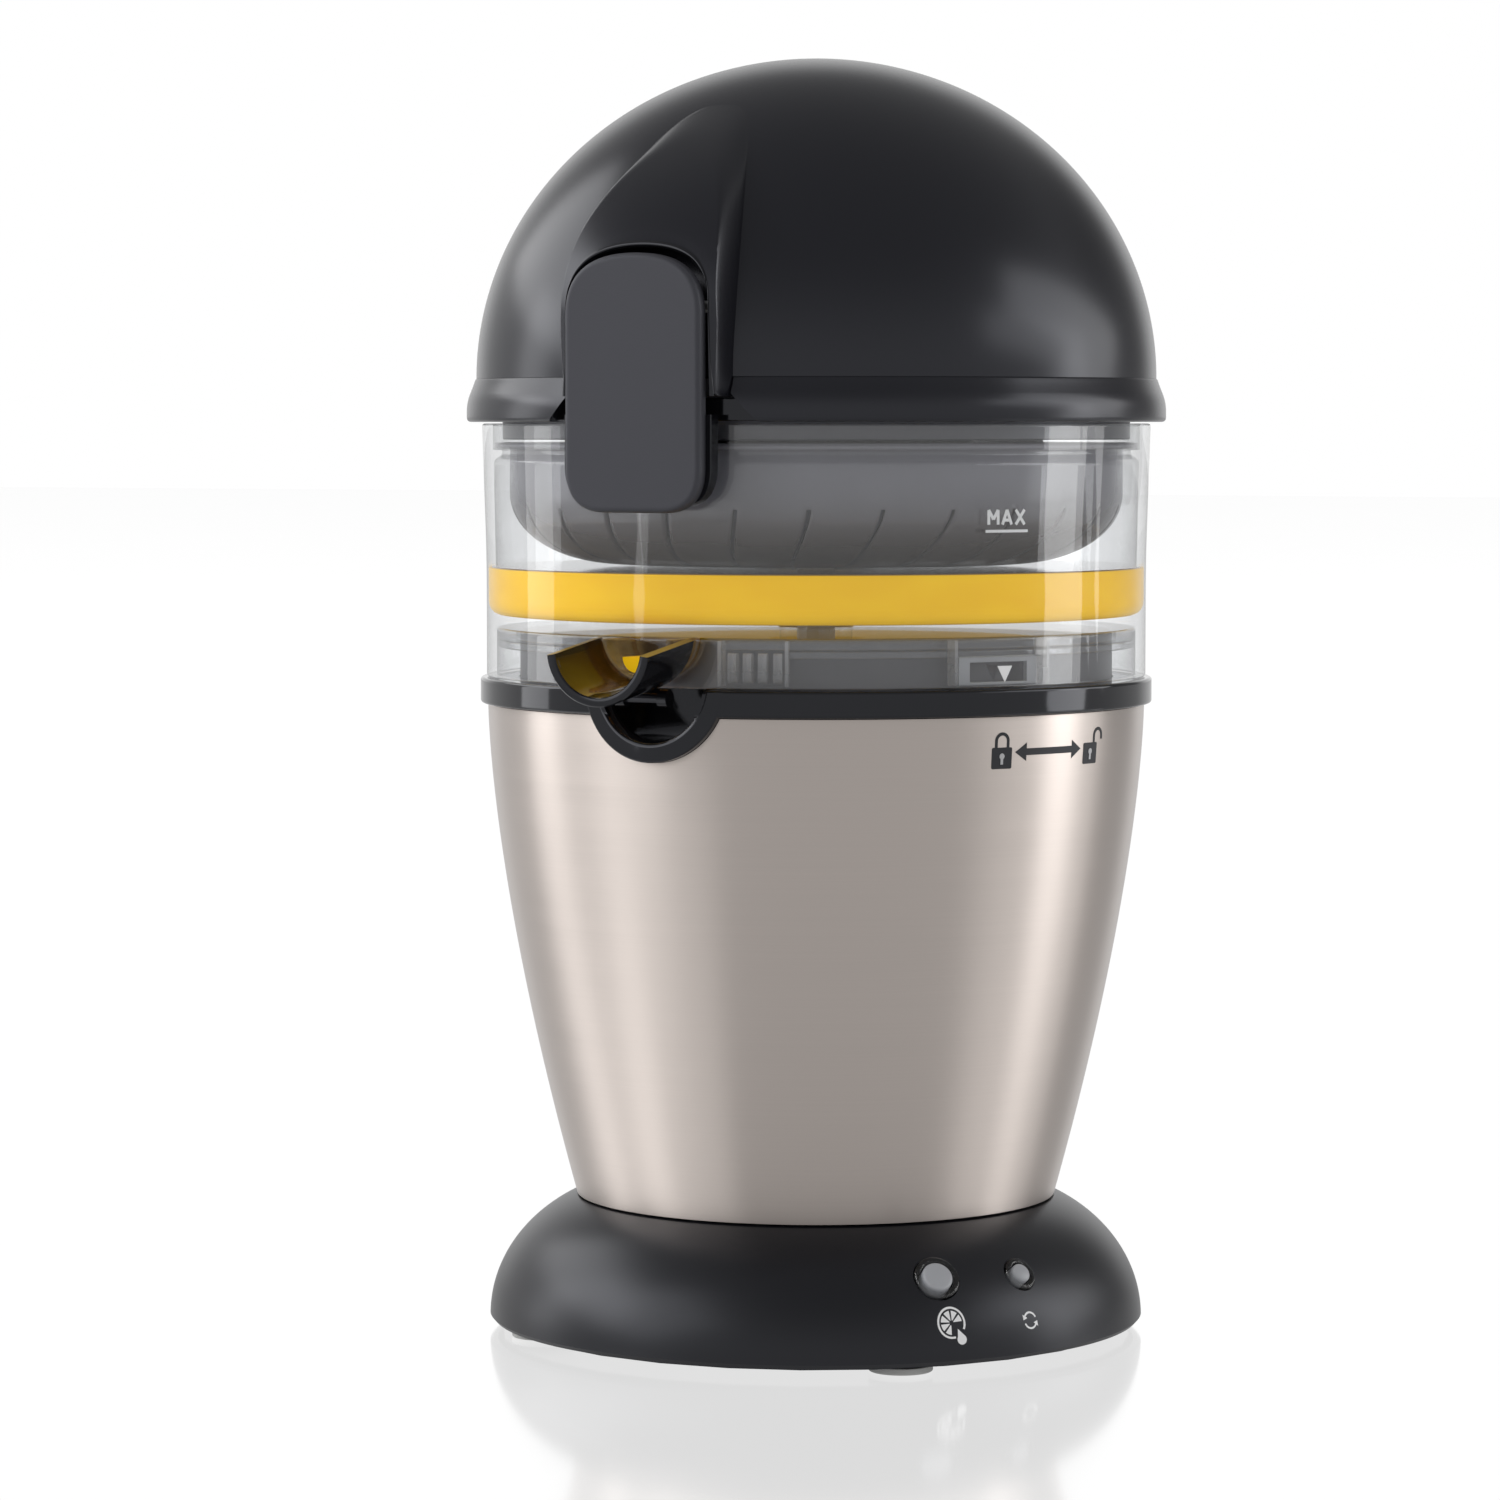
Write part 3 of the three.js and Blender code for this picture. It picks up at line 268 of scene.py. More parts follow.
# %% [markdown]
# The sleeve is stainless steel brushed around the body: hair-thin lines run level, so the
# reflections smear upwards and downwards. Noise that changes quickly with height and slowly
# sideways gives the lines, both in the gloss and in the relief. The sleeve's gloss is
# anisotropic as well, turned a quarter, so its highlights are long and upright.


# %% Metals
def brushed(name, colour, roughness, lines=2600.0, depth=0.000004, anisotropy=0.0):
    """Metal with level brush lines: noise squeezed along Z."""
    s = Shader(name)
    fine = s.noise(1, 2, (14, 14, lines))
    broad = s.noise(1, 2, (5, 5, lines / 12))
    streaks = fine * 0.6 + broad * 0.4
    darker = tuple(0.9 * c for c in colour)
    tone = s.blend(streaks, darker, colour)
    relief = s.bump(fine, 0.35, depth)
    body = s.principled(Base_Color=tone, Roughness=streaks * 0.12 + (roughness - 0.06),
                        Metallic=1.0, Normal=relief, Anisotropic=anisotropy,
                        Anisotropic_Rotation=0.25)
    return s.finish(body)


sleeve_steel = brushed("sleeve_steel", (0.64, 0.575, 0.535), 0.36, anisotropy=0.85)
plain_steel = brushed("plain_steel", (0.5, 0.5, 0.51), 0.35, 900)
turned_brass = brushed("turned_brass", (0.6, 0.42, 0.16), 0.35, 900)

# %% [markdown]
# The bowl is clear moulded plastic. Real refraction needs many light paths and hides the
# juice behind noise, so the wall lets light straight through and adds only the gloss: a
# mirror share that grows towards grazing angles as 0.07 + 0.93 * facing ** 5.


# %% Clear and smoky plastics
def mirror_share(s, least=0.07):
    """Schlick's formula for how much a surface mirrors at each angle."""
    facing = s.node("ShaderNodeLayerWeight", {}, {"Blend": 0.5}, output="Facing")
    return facing ** 5 * (1 - least) + least


def clear(name, tint, roughness=0.03):
    s = Shader(name)
    through = s.node("ShaderNodeBsdfTransparent", {}, {"Color": (*tint, 1)})
    gloss = s.node("ShaderNodeBsdfAnisotropic", {}, {"Roughness": roughness})
    mixed = s.node("ShaderNodeMixShader", {}, {0: mirror_share(s), 1: through, 2: gloss})
    return s.finish(mixed)


def smoky(name, low_colour, high_colour, cover, span=(0.199, 0.222), roughness=0.18):
    """Tinted plastic: a share of plain surface, a share seen through. The tone drifts from
    the low colour to the high one over a span of heights in metres."""
    s = Shader(name)
    through = s.node("ShaderNodeBsdfTransparent", {}, {"Color": (1, 1, 1, 1)})
    cloud = s.noise(30, 2)
    height = s.node("ShaderNodeSeparateXYZ", {}, {"Vector": s.place()}, output="Z")
    climb = s.node("ShaderNodeMapRange", {"interpolation_type": "SMOOTHSTEP"},
                   {"Value": height, "From Min": span[0], "From Max": span[1]})
    tone = s.blend(climb * 0.9 + cloud * 0.1, low_colour, high_colour)
    skin = s.principled(Base_Color=tone, Roughness=roughness)
    share = cloud * 0.06 + (cover - 0.03)
    mixed = s.node("ShaderNodeMixShader", {}, {0: share, 1: through, 2: skin})
    return s.finish(mixed)


bowl_clear = clear("bowl_clear", (0.975, 0.98, 0.985))
smoky_grey = smoky("smoky_grey", (0.1, 0.086, 0.078), (0.27, 0.268, 0.3), 0.8)
frosted = smoky("frosted", (0.42, 0.43, 0.45), (0.5, 0.51, 0.54), 0.85, (0, 0.03), 0.35)
milky = smoky("milky", (0.42, 0.42, 0.43), (0.7, 0.7, 0.72), 0.42, (0.169, 0.181), 0.12)
amber_wet = moulded("amber_wet", (0.014, 0.008, 0.002), 0.1)
amber_clear = clear("amber_clear", (0.9, 0.74, 0.45))


# %% Juice
def fruit_juice():
    """Cloudy orange juice: pulp makes the tone drift, a wet skin mirrors the room.
    A faint glow in its own tone is painted light, for light scattered inside the juice.
    """
    s = Shader("fruit_juice")
    pulp = s.noise(60, 4, (1, 1, 2.5))
    tone = s.blend(pulp, (0.8, 0.45, 0.003), (0.9, 0.56, 0.008))
    # The emission is painted light: the juice glows faintly in its own tone, as if lit from inside.
    body = s.principled(Base_Color=tone, Roughness=0.3, Specular_IOR_Level=0.15,
                        Emission_Color=tone, Emission_Strength=0.3)
    return s.finish(body)


orange_juice = fruit_juice()
juice_skin = moulded("juice_skin", (0.2, 0.13, 0.06), 0.06, 0.004, 0.00005, 0.2)

# %% [markdown]
# Almost every piece of this machine is turned or swept, so one grid helper serves them all:
# it joins a grid of points into quads, closes it where it wraps, merges poles, and points the
# faces outwards.


# %% Mesh helpers
def grid_faces(rows, columns, wrap_rows, wrap_columns):
    """Quads between neighbouring grid points, as rows of four point numbers."""
    i, j = np.meshgrid(np.arange(rows if wrap_rows else rows - 1),
                       np.arange(columns if wrap_columns else columns - 1), indexing="ij")
    i, j = i.ravel(), j.ravel()
    k, m = (i + 1) % rows, (j + 1) % columns
    return np.stack([i * columns + j, k * columns + j, k * columns + m, i * columns + m], 1)


def build(name, parts, finish, sharp=35.0):
    """One mesh object from (points in mm, faces) parts, merged, closed and smooth."""
    points = np.concatenate([p.reshape(-1, 3) for p, _ in parts]) / 1000
    starts = np.cumsum([0] + [p.reshape(-1, 3).shape[0] for p, _ in parts])
    faces = [(np.asarray(f) + start).tolist() for (_, fs), start in zip(parts, starts) for f in fs]
    mesh = bpy.data.meshes.new(name)
    mesh.from_pydata(points.tolist(), [], faces)
    work = bmesh.new()
    work.from_mesh(mesh)
    bmesh.ops.remove_doubles(work, verts=work.verts, dist=2e-6)
    bmesh.ops.recalc_face_normals(work, faces=work.faces)
    work.to_mesh(mesh)
    work.free()
    mesh.shade_smooth()
    mesh.set_sharp_from_angle(angle=math.radians(sharp))
    piece = bpy.data.objects.new(name, mesh)
    bpy.context.collection.objects.link(piece)
    piece.data.materials.append(finish)
    print(f"{name}: {len(mesh.polygons)} faces")
    return piece


def settle(piece, body, slot_name, *nodes):
    """Parent the piece to the body it moves with, and hide the CAD nodes it stands in for."""
    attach(piece, body)
    if nodes:
        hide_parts(*nodes)


def rounded(corners, closed=True, steps=6):
    """An outline through (r, z, size) corners, each softened by a curve of that size."""
    corners = [(*c, 0)[:3] for c in corners]
    count = len(corners)
    out = []
    for i, (r, z, size) in enumerate(corners):
        here = np.array([r, z])
        if size <= 0 or (not closed and i in (0, count - 1)):
            out.append(here[None])
            continue
        before = np.array(corners[i - 1][:2]) - here
        after = np.array(corners[(i + 1) % count][:2]) - here
        reach = [min(size, 0.49 * np.linalg.norm(d)) / np.linalg.norm(d) for d in (before, after)]
        t = np.linspace(0, 1, steps)[:, None]
        start, end = here + before * reach[0], here + after * reach[1]
        out.append((1 - t) ** 2 * start + 2 * t * (1 - t) * here + t**2 * end)
    return np.concatenate(out)


def turn(outline, segments=160, sweep=None, closed=True):
    """A profile turned about Z: x = r sin a, y = -r cos a, with a from the front."""
    first, last = sweep or (0, 360)
    whole = sweep is None
    a = np.radians(np.linspace(first, last, segments, endpoint=not whole))[:, None]
    r, z = outline[None, :, 0], outline[None, :, 1]
    points = np.stack([r * np.sin(a), -r * np.cos(a), z + 0 * a], -1)
    return points, grid_faces(segments, outline.shape[0], whole, closed)


def turned_piece(name, corners, finish, segments=160, closed=True, move=None):
    points, faces = turn(rounded(corners, closed), segments, closed=closed)
    if move is not None:
        points = move(points)
    return build(name, [(points, faces)], finish)


def shifted(x, y):
    return lambda points: points + np.array([x, y, 0.0])


def drill(piece, cutter):
    """Cut a closed mesh out of a piece and keep the result as its mesh."""
    modifier = piece.modifiers.new("cut", "BOOLEAN")
    modifier.object = cutter
    modifier.solver = "EXACT"
    bpy.context.view_layer.update()
    cut_mesh = bpy.data.meshes.new_from_object(
        piece.evaluated_get(bpy.context.evaluated_depsgraph_get()))
    piece.modifiers.clear()
    piece.data = cut_mesh
    bpy.data.objects.remove(cutter)
    piece.data.set_sharp_from_angle(angle=math.radians(35))
    return piece


def rod(radius, start, end, segments=96):
    """A closed cylinder between two points, for cutting and for pins."""
    start, end = np.array(start, float), np.array(end, float)
    along = (end - start) / np.linalg.norm(end - start)
    side = np.cross(along, [0, 0, 1] if abs(along[2]) < 0.9 else [1, 0, 0])
    side = side / np.linalg.norm(side)
    up = np.cross(along, side)
    a = np.linspace(0, 2 * np.pi, segments, endpoint=False)[:, None, None]
    r = np.array([0, radius, radius, 0])[None, :, None]
    centre = np.stack([start, start, end, end])[None]
    points = centre + r * (np.cos(a) * side + np.sin(a) * up)
    return points, grid_faces(segments, 4, True, False)


# %% [markdown]
# The foot is a quarter ellipse turned about the axis, tight at the waist and almost upright
# at the rim, with a small undercut that leaves a shadow line above the table.


# %% Foot
def flare_radius(z):
    """Radius of the foot's outside: a quarter ellipse of the flare's reach and rise."""
    share = np.clip((z - BASE_LOW) / FLARE_RISE, 0, 1)
    return BASE_R - FLARE_REACH + FLARE_REACH * np.sqrt(1 - share**2)


def flare_outline():
    steepest = math.asin((BASE_TOP - BASE_LOW) / FLARE_RISE)
    z = BASE_LOW + FLARE_RISE * np.sin(np.linspace(0.02, steepest, 44))
    outside = np.stack([flare_radius(z), z], 1)
    inside = np.array([[55.5, BASE_TOP], [55.5, BASE_TOP - 2.2], [62, BASE_TOP - 3.5],
                       [72, 25], [79, 14], [82, 4.2], [82.6, BASE_LOW - 0.1],
                       [83.7, BASE_LOW - 0.3]])
    return np.concatenate([outside, inside])


base = build("foot_shell", [turn(flare_outline(), 220)], base_black)

# %% [markdown]
# Each button sits in a clear ring, square to the foot's slope. The slope's normal comes from
# the ellipse: its parts are the offsets divided by the squared half-axes.


# %% Buttons
def on_slope(azimuth, height):
    """A function that carries points drawn about Z onto the foot at a place."""
    radius = float(flare_radius(height))
    a = math.radians(azimuth)
    out = (radius - (BASE_R - FLARE_REACH)) / FLARE_REACH**2
    up = (height - BASE_LOW) / FLARE_RISE**2
    normal = np.array([out * math.sin(a), -out * math.cos(a), up])
    normal /= np.linalg.norm(normal)
    side = np.array([math.cos(a), math.sin(a), 0.0])
    upward = np.cross(normal, side)
    place = np.array([radius * math.sin(a), -radius * math.cos(a), height])
    return lambda p: place + p[..., :1] * side + p[..., 1:2] * upward + p[..., 2:] * normal


BUTTONS = {"start": (51.0, 23.2, 5.9, 3.9), "reverse": (68.9, 22.3, 4.4, 2.5)}
for label, (azimuth, height, ring_r, cap_r) in BUTTONS.items():
    carry = on_slope(azimuth, height)
    hole = rod(ring_r + 0.15, (0, 0, -12), (0, 0, 8))
    base = drill(base, build("hole", [(carry(hole[0]), hole[1])], base_black))
    ring = turned_piece(f"{label}_ring", [(ring_r, -8), (ring_r, 0.9, 1.1), (cap_r + 0.3, 0.8, 0.5),
                                          (cap_r + 0.3, -7), (1.3, -7), (1.3, -8)],
                        bowl_clear, 72, move=carry)
    settle(ring, "housing", "clear_plastic", f"{label}_bezel")
    cap = turned_piece(f"{label}_cap", [(0, -3.2), (cap_r, -3.2), (cap_r, 1.2, 0.8), (0, 1.9)],
                       frosted, 64, closed=False, move=carry)
    stem = rod(1.0, (0, 0, -7.4), (0, 0, -3.0), 24)
    cap_stem = build(f"{label}_stem", [(carry(stem[0]), stem[1])], frosted)
    settle(cap, f"{label}_key", "dark_grey", f"{label}_button")
    settle(cap_stem, f"{label}_key", "dark_grey")
settle(base, "housing", "satin_black", "base_shell")

# %% [markdown]
# Four rubber feet stick out a little under the foot, so the machine stands on them.

# %% Rubber feet
for corner in ("front_right", "rear_right", "rear_left", "front_left"):
    low, high = extent(f"foot_{corner}")
    centre = (low + high) / 2
    pad = turned_piece(f"pad_{corner}",
                       [(0, 0), (8, 0, 0.6), (8, 1.7, 0.3), (3, 1.7), (3, 6), (0, 6)],
                       foot_rubber, 72, closed=False, move=shifted(centre[0], centre[1]))
    settle(pad, "housing", "rubber_grey", f"foot_{corner}")

# %% [markdown]
# The sleeve tapers by a power law: nearly upright under the collar and drawn in more and more
# towards the waist. A round bite at the front makes room for the recess under the spout.


# %% Steel sleeve
def sleeve_radius(z):
    depth = (SLEEVE_TOP - z) / (SLEEVE_TOP - SLEEVE_LOW)
    return SLEEVE_TOP_R - SLEEVE_TAPER * np.clip(depth, 0, 1.2) ** SLEEVE_CURVE


heights = np.linspace(SLEEVE_LOW, SLEEVE_TOP, 40)
outside = np.stack([sleeve_radius(heights), heights], 1)
inside = np.stack([sleeve_radius(heights[::-1]) - 1.0, heights[::-1]], 1)
sleeve = build("sleeve", [turn(np.concatenate([outside, inside]), 240)], sleeve_steel)
CUT_FRONT, CUT_BACK = -100, -60
bite = rod(RECESS_RIM_R + 0.1, (0, CUT_FRONT, RECESS_Z), (0, CUT_BACK, RECESS_Z), 128)
sleeve = drill(sleeve, build("bite", [bite], sleeve_steel))
settle(sleeve, "housing", "brushed_steel", "steel_sleeve")

# %% [markdown]
# The collar is one gloss moulding: a band around the top of the steel, and under the spout a
# round surround that runs back into a pocket. The surround hugs the body, so each of its
# points is pushed out until it lies on the cylinder of the collar's radius.

# %% Collar and recess
RECESS_BACK = -68.0
band = turned_piece("collar", [(COLLAR_R, COLLAR_LOW, 0.8), (COLLAR_R, COLLAR_TOP, 0.9),
                               (TURRET_R + 0.3, COLLAR_TOP), (TURRET_R + 0.3, COLLAR_LOW)],
                    gloss_black, 240)
throat = rod(RECESS_R + 0.4, (0, CUT_FRONT, RECESS_Z), (0, CUT_BACK, RECESS_Z), 128)
band = drill(band, build("throat", [throat], gloss_black))


def surround():
    """A ring profile (distance from the recess centre, height above the body) carried round
    the lower half circle and laid on the collar's cylinder."""
    profile = rounded([(RECESS_RIM_R, -4), (RECESS_RIM_R, 0.3, 0.5), (RECESS_R + 0.8, 0.3, 1.0),
                       (RECESS_R, -3, 1.0), (RECESS_R, -19)], closed=False)
    a = np.linspace(np.pi * 0.985, np.pi * 2.015, 90)[:, None]
    rho, lift = profile[None, :, 0], profile[None, :, 1]
    x = rho * np.cos(a)
    z = RECESS_Z + rho * np.sin(a)
    y = -(np.sqrt((COLLAR_R - 0.2) ** 2 - x**2) + lift)
    points = np.stack([x, y, np.minimum(z, COLLAR_TOP - 0.4)], -1)
    return points, grid_faces(a.size, profile.shape[0], False, False)


def pocket_back():
    r = np.linspace(0, RECESS_R + 1, 8)[None, :]
    a = np.linspace(np.pi, 2 * np.pi, 60)[:, None]
    points = np.stack([r * np.cos(a), 0 * r * a + RECESS_BACK, RECESS_Z + r * np.sin(a)], -1)
    return points, grid_faces(a.size, r.size, False, False)


recess = build("recess", [surround(), pocket_back()], gloss_black)
settle(band, "housing", "gloss_black", "collar_ring")
settle(recess, "housing", "gloss_black")

turret = turned_piece("turret", [
    (TURRET_R, 160), (TURRET_R, TURRET_TOP, 1.2), (8.3, TURRET_TOP, 0.4), (8.3, 176), (14, 176),
    (74.2, 178.2), (74.2, 160)], turret_grey, 200)
settle(turret, "housing", "dark_grey", "top_deck")

# %% [markdown]
# The bowl is one clear moulding. Its outline is drawn as a loop: up the outside, over the rim,
# down the inside with a ledge for the strainer, across the floor, up and down the chimney
# around the spindle, and back under the floor to the skirt that stands on the collar.

# %% Bowl
BOWL_WALL = 2.6
INNER_R = BOWL_R - BOWL_WALL
CHIMNEY_R, CHIMNEY_TOP = 11.8, 206.5
SPINDLE_HOLE = 9.4
bowl = turned_piece("bowl", [
    (BOWL_RIM_R, BOWL_RIM, 0.8), (BOWL_R, 200, 8), (BOWL_R, BOWL_SKIRT, 0.5),
    (INNER_R, BOWL_SKIRT, 0.5), (INNER_R, BOWL_UNDER, 1.0), (SPINDLE_HOLE, BOWL_UNDER, 0.6),
    (SPINDLE_HOLE, CHIMNEY_TOP, 0.8), (CHIMNEY_R, CHIMNEY_TOP, 0.8),
    (CHIMNEY_R, BOWL_FLOOR + 0.6, 3), (INNER_R, BOWL_FLOOR, 4),
    (INNER_R + 0.7, 224.4, 1), (81, 226, 0.5), (81, 227.2, 0.3), (83.3, 227.2, 0.3),
    (83.3, BOWL_RIM, 0.8)], bowl_clear, 240)
settle(bowl, "bowl", "clear_plastic", "juice_bowl")

# %% [markdown]
# Juice fills the bowl to a level. It rides with the bowl, as a ring around the chimney. A
# real wall bends light so that the juice seems to reach its outer face. This wall bends none,
# so the ring is drawn nearly that wide. A darker, mirror-like skin is the juice's surface.

# %% Juice in the bowl
JUICE_R, JUICE_HOLE, SKIN_HOLE = BOWL_R - 0.5, 12.0, 12.2
juice = turned_piece("juice_fill", [
    (JUICE_HOLE, BOWL_FLOOR + 0.2, 1), (JUICE_R, BOWL_FLOOR + 0.2, 4), (JUICE_R, JUICE_TOP, 0.3),
    (JUICE_HOLE, JUICE_TOP, 0.3)], orange_juice, 200)
settle(juice, "bowl", "clear_plastic")
skin = turned_piece("juice_surface", [
    (SKIN_HOLE, JUICE_TOP + 0.05), (JUICE_R - 0.8, JUICE_TOP + 0.05),
    (JUICE_R - 1, JUICE_TOP + 0.3, 0.1), (SKIN_HOLE, JUICE_TOP + 0.3)], juice_skin, 200)
settle(skin, "bowl", "clear_plastic")

# %% [markdown]
# A clear half-round channel carries the juice out through the skirt, and a gloss black trough
# below it catches it. Both are a U-shaped section carried along a straight line, the trough
# tilted down a little towards its tip. A half-round room is cut out of the turret behind
# them, so that the recess looks as deep and dark as it is.


# %% Outlet and trough
def gutter(radius, wall, top_cut, start, end, centre_start, centre_end):
    """A half-round wall carried from start to end along Y, its centre height changing evenly.
    The section is a closed loop: out along the outside, back along the inside."""
    half = math.acos(top_cut / radius)
    a = np.linspace(-half, half, 48)
    outer = np.stack([radius * np.sin(a), -radius * np.cos(a)], 1)
    inner = np.stack([(radius - wall) * np.sin(a[::-1]), -(radius - wall) * np.cos(a[::-1])], 1)
    section = np.concatenate([outer, inner])
    rows = np.array([0, 0.004, 0.02, 0.5, 0.98, 0.996, 1.0])
    thin = np.array([0.0, 0.75, 1.0, 1.0, 1.0, 0.75, 0.0])
    middle = np.concatenate([(outer + inner[::-1]) / 2, ((outer + inner[::-1]) / 2)[::-1]])
    y = (start + (end - start) * rows)[:, None]
    centre = (centre_start + (centre_end - centre_start) * rows)[:, None]
    xz = middle[None] + (section - middle)[None] * thin[:, None, None]
    points = np.stack([xz[..., 0], y + 0 * xz[..., 0], centre + xz[..., 1]], -1)
    return points, grid_faces(rows.size, section.shape[0], False, True)


def capped(points, faces):
    """The same strip with its two ends closed by one face each."""
    rows, columns = points.shape[:2]
    first = list(range(columns))
    last = [(rows - 1) * columns + k for k in range(columns)]
    return points, [list(f) for f in faces] + [first, last[::-1]]


def half_disc(radius, centre, start, end):
    """A half-round slab between two places along Y."""
    a = np.linspace(np.pi, 2 * np.pi, 40)
    flat = np.stack([radius * np.cos(a), 0 * a, centre + radius * np.sin(a)], 1)
    slab = np.stack([flat + [0, start, 0], flat + [0, end, 0]])
    return capped(slab, grid_faces(2, a.size, False, True))


room = build("pocket_room", [half_disc(RECESS_R + 0.6, COLLAR_TOP, CUT_FRONT, CUT_BACK)],
             turret_grey)
drill(turret, room)
OUTLET_R, OUTLET_START, OUTLET_END = 10.0, -78.0, -93.0
outlet = build("outlet", [
    gutter(OUTLET_R, 1.5, 0.1, OUTLET_START, OUTLET_END, BOWL_UNDER, BOWL_UNDER),
    half_disc(OUTLET_R - 0.7, BOWL_UNDER, OUTLET_START, OUTLET_START - 1.2)], amber_clear)
settle(outlet, "bowl", "clear_plastic")
stream = build("juice_stream", [half_disc(3.8, BOWL_UNDER - 4.5, OUTLET_START - 2,
                                          OUTLET_END + 0.4)], orange_juice)
settle(stream, "bowl", "clear_plastic")
TROUGH_BACK, TROUGH_TIP = -88.5, extent("drip_spout")[0][1]
TIP_HEIGHT = 179.9
EAR_Y, EAR_Z = -89, 167
trough = build("trough", [gutter(14.25, 2.3, 1.9, TROUGH_BACK, TROUGH_TIP, 183.3, TIP_HEIGHT)],
               gloss_black)
lining = build("trough_lining", [gutter(11.9, 0.06, 3.1, TROUGH_BACK - 1, TROUGH_TIP + 1.4, 183.1,
                                        TIP_HEIGHT)], amber_wet)
ears = build("trough_ears", [rod(2.2, (side * 4.7, EAR_Y, EAR_Z), (side * 7.3, EAR_Y, EAR_Z), 32)
                             for side in (-1, 1)], gloss_black)
settle(trough, "spout", "gloss_black", "drip_spout")
settle(lining, "spout", "gloss_black")
settle(ears, "spout", "gloss_black")

# %% [markdown]
# Inside the skirt, moulded details show through the clear wall: a stepped ring under the
# floor, a block of upright flutes beside the outlet, and a small sight window that frames the
# position mark. All are parts of a ring: a closed section turned through a few degrees, whose
# outer radius may change with the azimuth.


# %% Details in the skirt
def ring_part(corners, first, last, segments=60, ripple=0.0, waves=0):
    """A capped part of a ring between two azimuths. The points on its outer side move in and
    out by ripple * cos(waves * 2 pi * share)."""
    outline = rounded(corners)
    points, _ = turn(outline, segments, (first, last))
    share = np.linspace(0, 1, segments)[:, None]
    outer = (outline[:, 0] > outline[:, 0].mean())[None, :]
    push = 1 + outer * ripple * np.cos(2 * np.pi * waves * share) / outline[:, 0].max()
    points = points * np.stack([push, push, np.ones_like(push)], -1)
    return capped(points, grid_faces(segments, len(outline), False, True))


def band_section(inner, outer, low, high, size=0.4):
    return [(inner, low, size), (outer, low, size), (outer, high, size), (inner, high, size)]


# A band is its inner and outer radius, then its lowest and highest point. Azimuths follow.
step_ring = [ring_part(band_section(77.4, 82.2, 178.6, 181.4), 12, 348, 240),
             ring_part(band_section(79.6, 82.0, 176.6, 178.4), 23, 337, 220)]
settle(build("skirt_steps", step_ring, bowl_clear), "bowl", "clear_plastic")
posts = [ring_part(band_section(78.0, 82.2, 169.8, 181), a, a + 0.6, 4)
         for a in (11.2, 22.9, 52.6, 72.2)]
flutes = [ring_part(band_section(78.4, 81.4, 170.6, 178.0, 1.2), a, a + 1.5, 12, 0.4, 1)
          for a in np.linspace(12.9, 20.9, 4)]
settle(build("skirt_flutes", flutes + posts, milky), "bowl", "clear_plastic")
FRAME_FIRST, FRAME_LAST = 54.0, 71.0
frame_parts = [ring_part(band_section(79.2, 80.4, low, high, 0.3), first, last, 30)
               for first, last, low, high in (
                   (FRAME_FIRST, 56.2, 169.9, 176.6), (68.6, FRAME_LAST, 169.9, 176.6),
                   (FRAME_FIRST, FRAME_LAST, 175.3, 176.8),
                   (FRAME_FIRST, FRAME_LAST, 169.7, 170.5))]
settle(build("sight_frame", frame_parts, frosted), "bowl", "clear_plastic")

# %% [markdown]
# The strainer is a smoky basket: an upright wall that rounds into the floor, with fine slots
# across the rounding that lean as they go down. Faces inside a slot are left out of the grid,
# and Solidify then gives the sheet its thickness. A dark blade stands in each slot.


# %% Strainer
SLOTS, STEPS_PER_SLOT = 27, 16
FIRST_CUT, LAST_CUT = 7, 20
BEND_REACH, BEND_RISE = 26.0, 16.5


def strainer_sheet():
    """Profile: flange, wall, quarter ellipse, floor, hub. A slot is the first of its sixteen
    steps round, between the profile's first and last cut step, which lie on the rounding.
    Points low down are turned about Z."""
    a = np.linspace(0, np.pi / 2, 20)
    bend = np.stack([STRAINER_R - BEND_REACH * (1 - np.cos(a)),
                     STRAINER_FLOOR + BEND_RISE * (1 - np.sin(a))], 1)
    profile = np.concatenate([
        [[82.8, STRAINER_TOP - 0.2], [80.5, STRAINER_TOP], [78.2, STRAINER_TOP - 0.2],
         [STRAINER_R, STRAINER_TOP - 1.0], [STRAINER_R, 220]], bend,
        [[40, STRAINER_FLOOR], [30, STRAINER_FLOOR], [15.5, STRAINER_FLOOR],
         [14.2, STRAINER_FLOOR + 1], [14.2, 207.2]]])
    points, faces = turn(profile, SLOTS * STEPS_PER_SLOT, closed=False)
    row, column = np.divmod(np.arange(faces.shape[0]), profile.shape[0] - 1)
    in_slot = (row % STEPS_PER_SLOT < 1) & (column >= FIRST_CUT) & (column <= LAST_CUT)
    return leaning(points), faces[~in_slot]


def leaning(points):
    """Turned about Z by an angle that grows as the square of the depth below the wall."""
    depth = np.clip((STRAINER_FLOOR + BEND_RISE - points[..., 2]) / BEND_RISE, 0, 1)
    a = np.radians(-5.0) * depth**2
    x, y = points[..., 0], points[..., 1]
    return np.stack([x * np.cos(a) - y * np.sin(a), x * np.sin(a) + y * np.cos(a),
                     points[..., 2]], -1)


def strainer_blades():
    """One thin blade in each slot: it follows the rounding, from just outside the sheet to
    1.8 mm further in and 1.2 mm further up."""
    a = np.linspace(0.15, 1.2, 16)
    middle, rise = STRAINER_R - BEND_REACH, STRAINER_FLOOR + BEND_RISE
    over = np.stack([middle + (BEND_REACH + 0.15) * np.cos(a),
                     rise - (BEND_RISE + 0.15) * np.sin(a)], 1)
    under = over[::-1] - [1.8, -1.2]
    outline = np.concatenate([over, under])
    blades = []
    for k in range(SLOTS):
        first = 360 * k / SLOTS + 0.1
        points, _ = turn(outline, 2, (first, first + 0.62))
        blades.append(capped(leaning(points), grid_faces(2, len(outline), False, True)))
    return blades


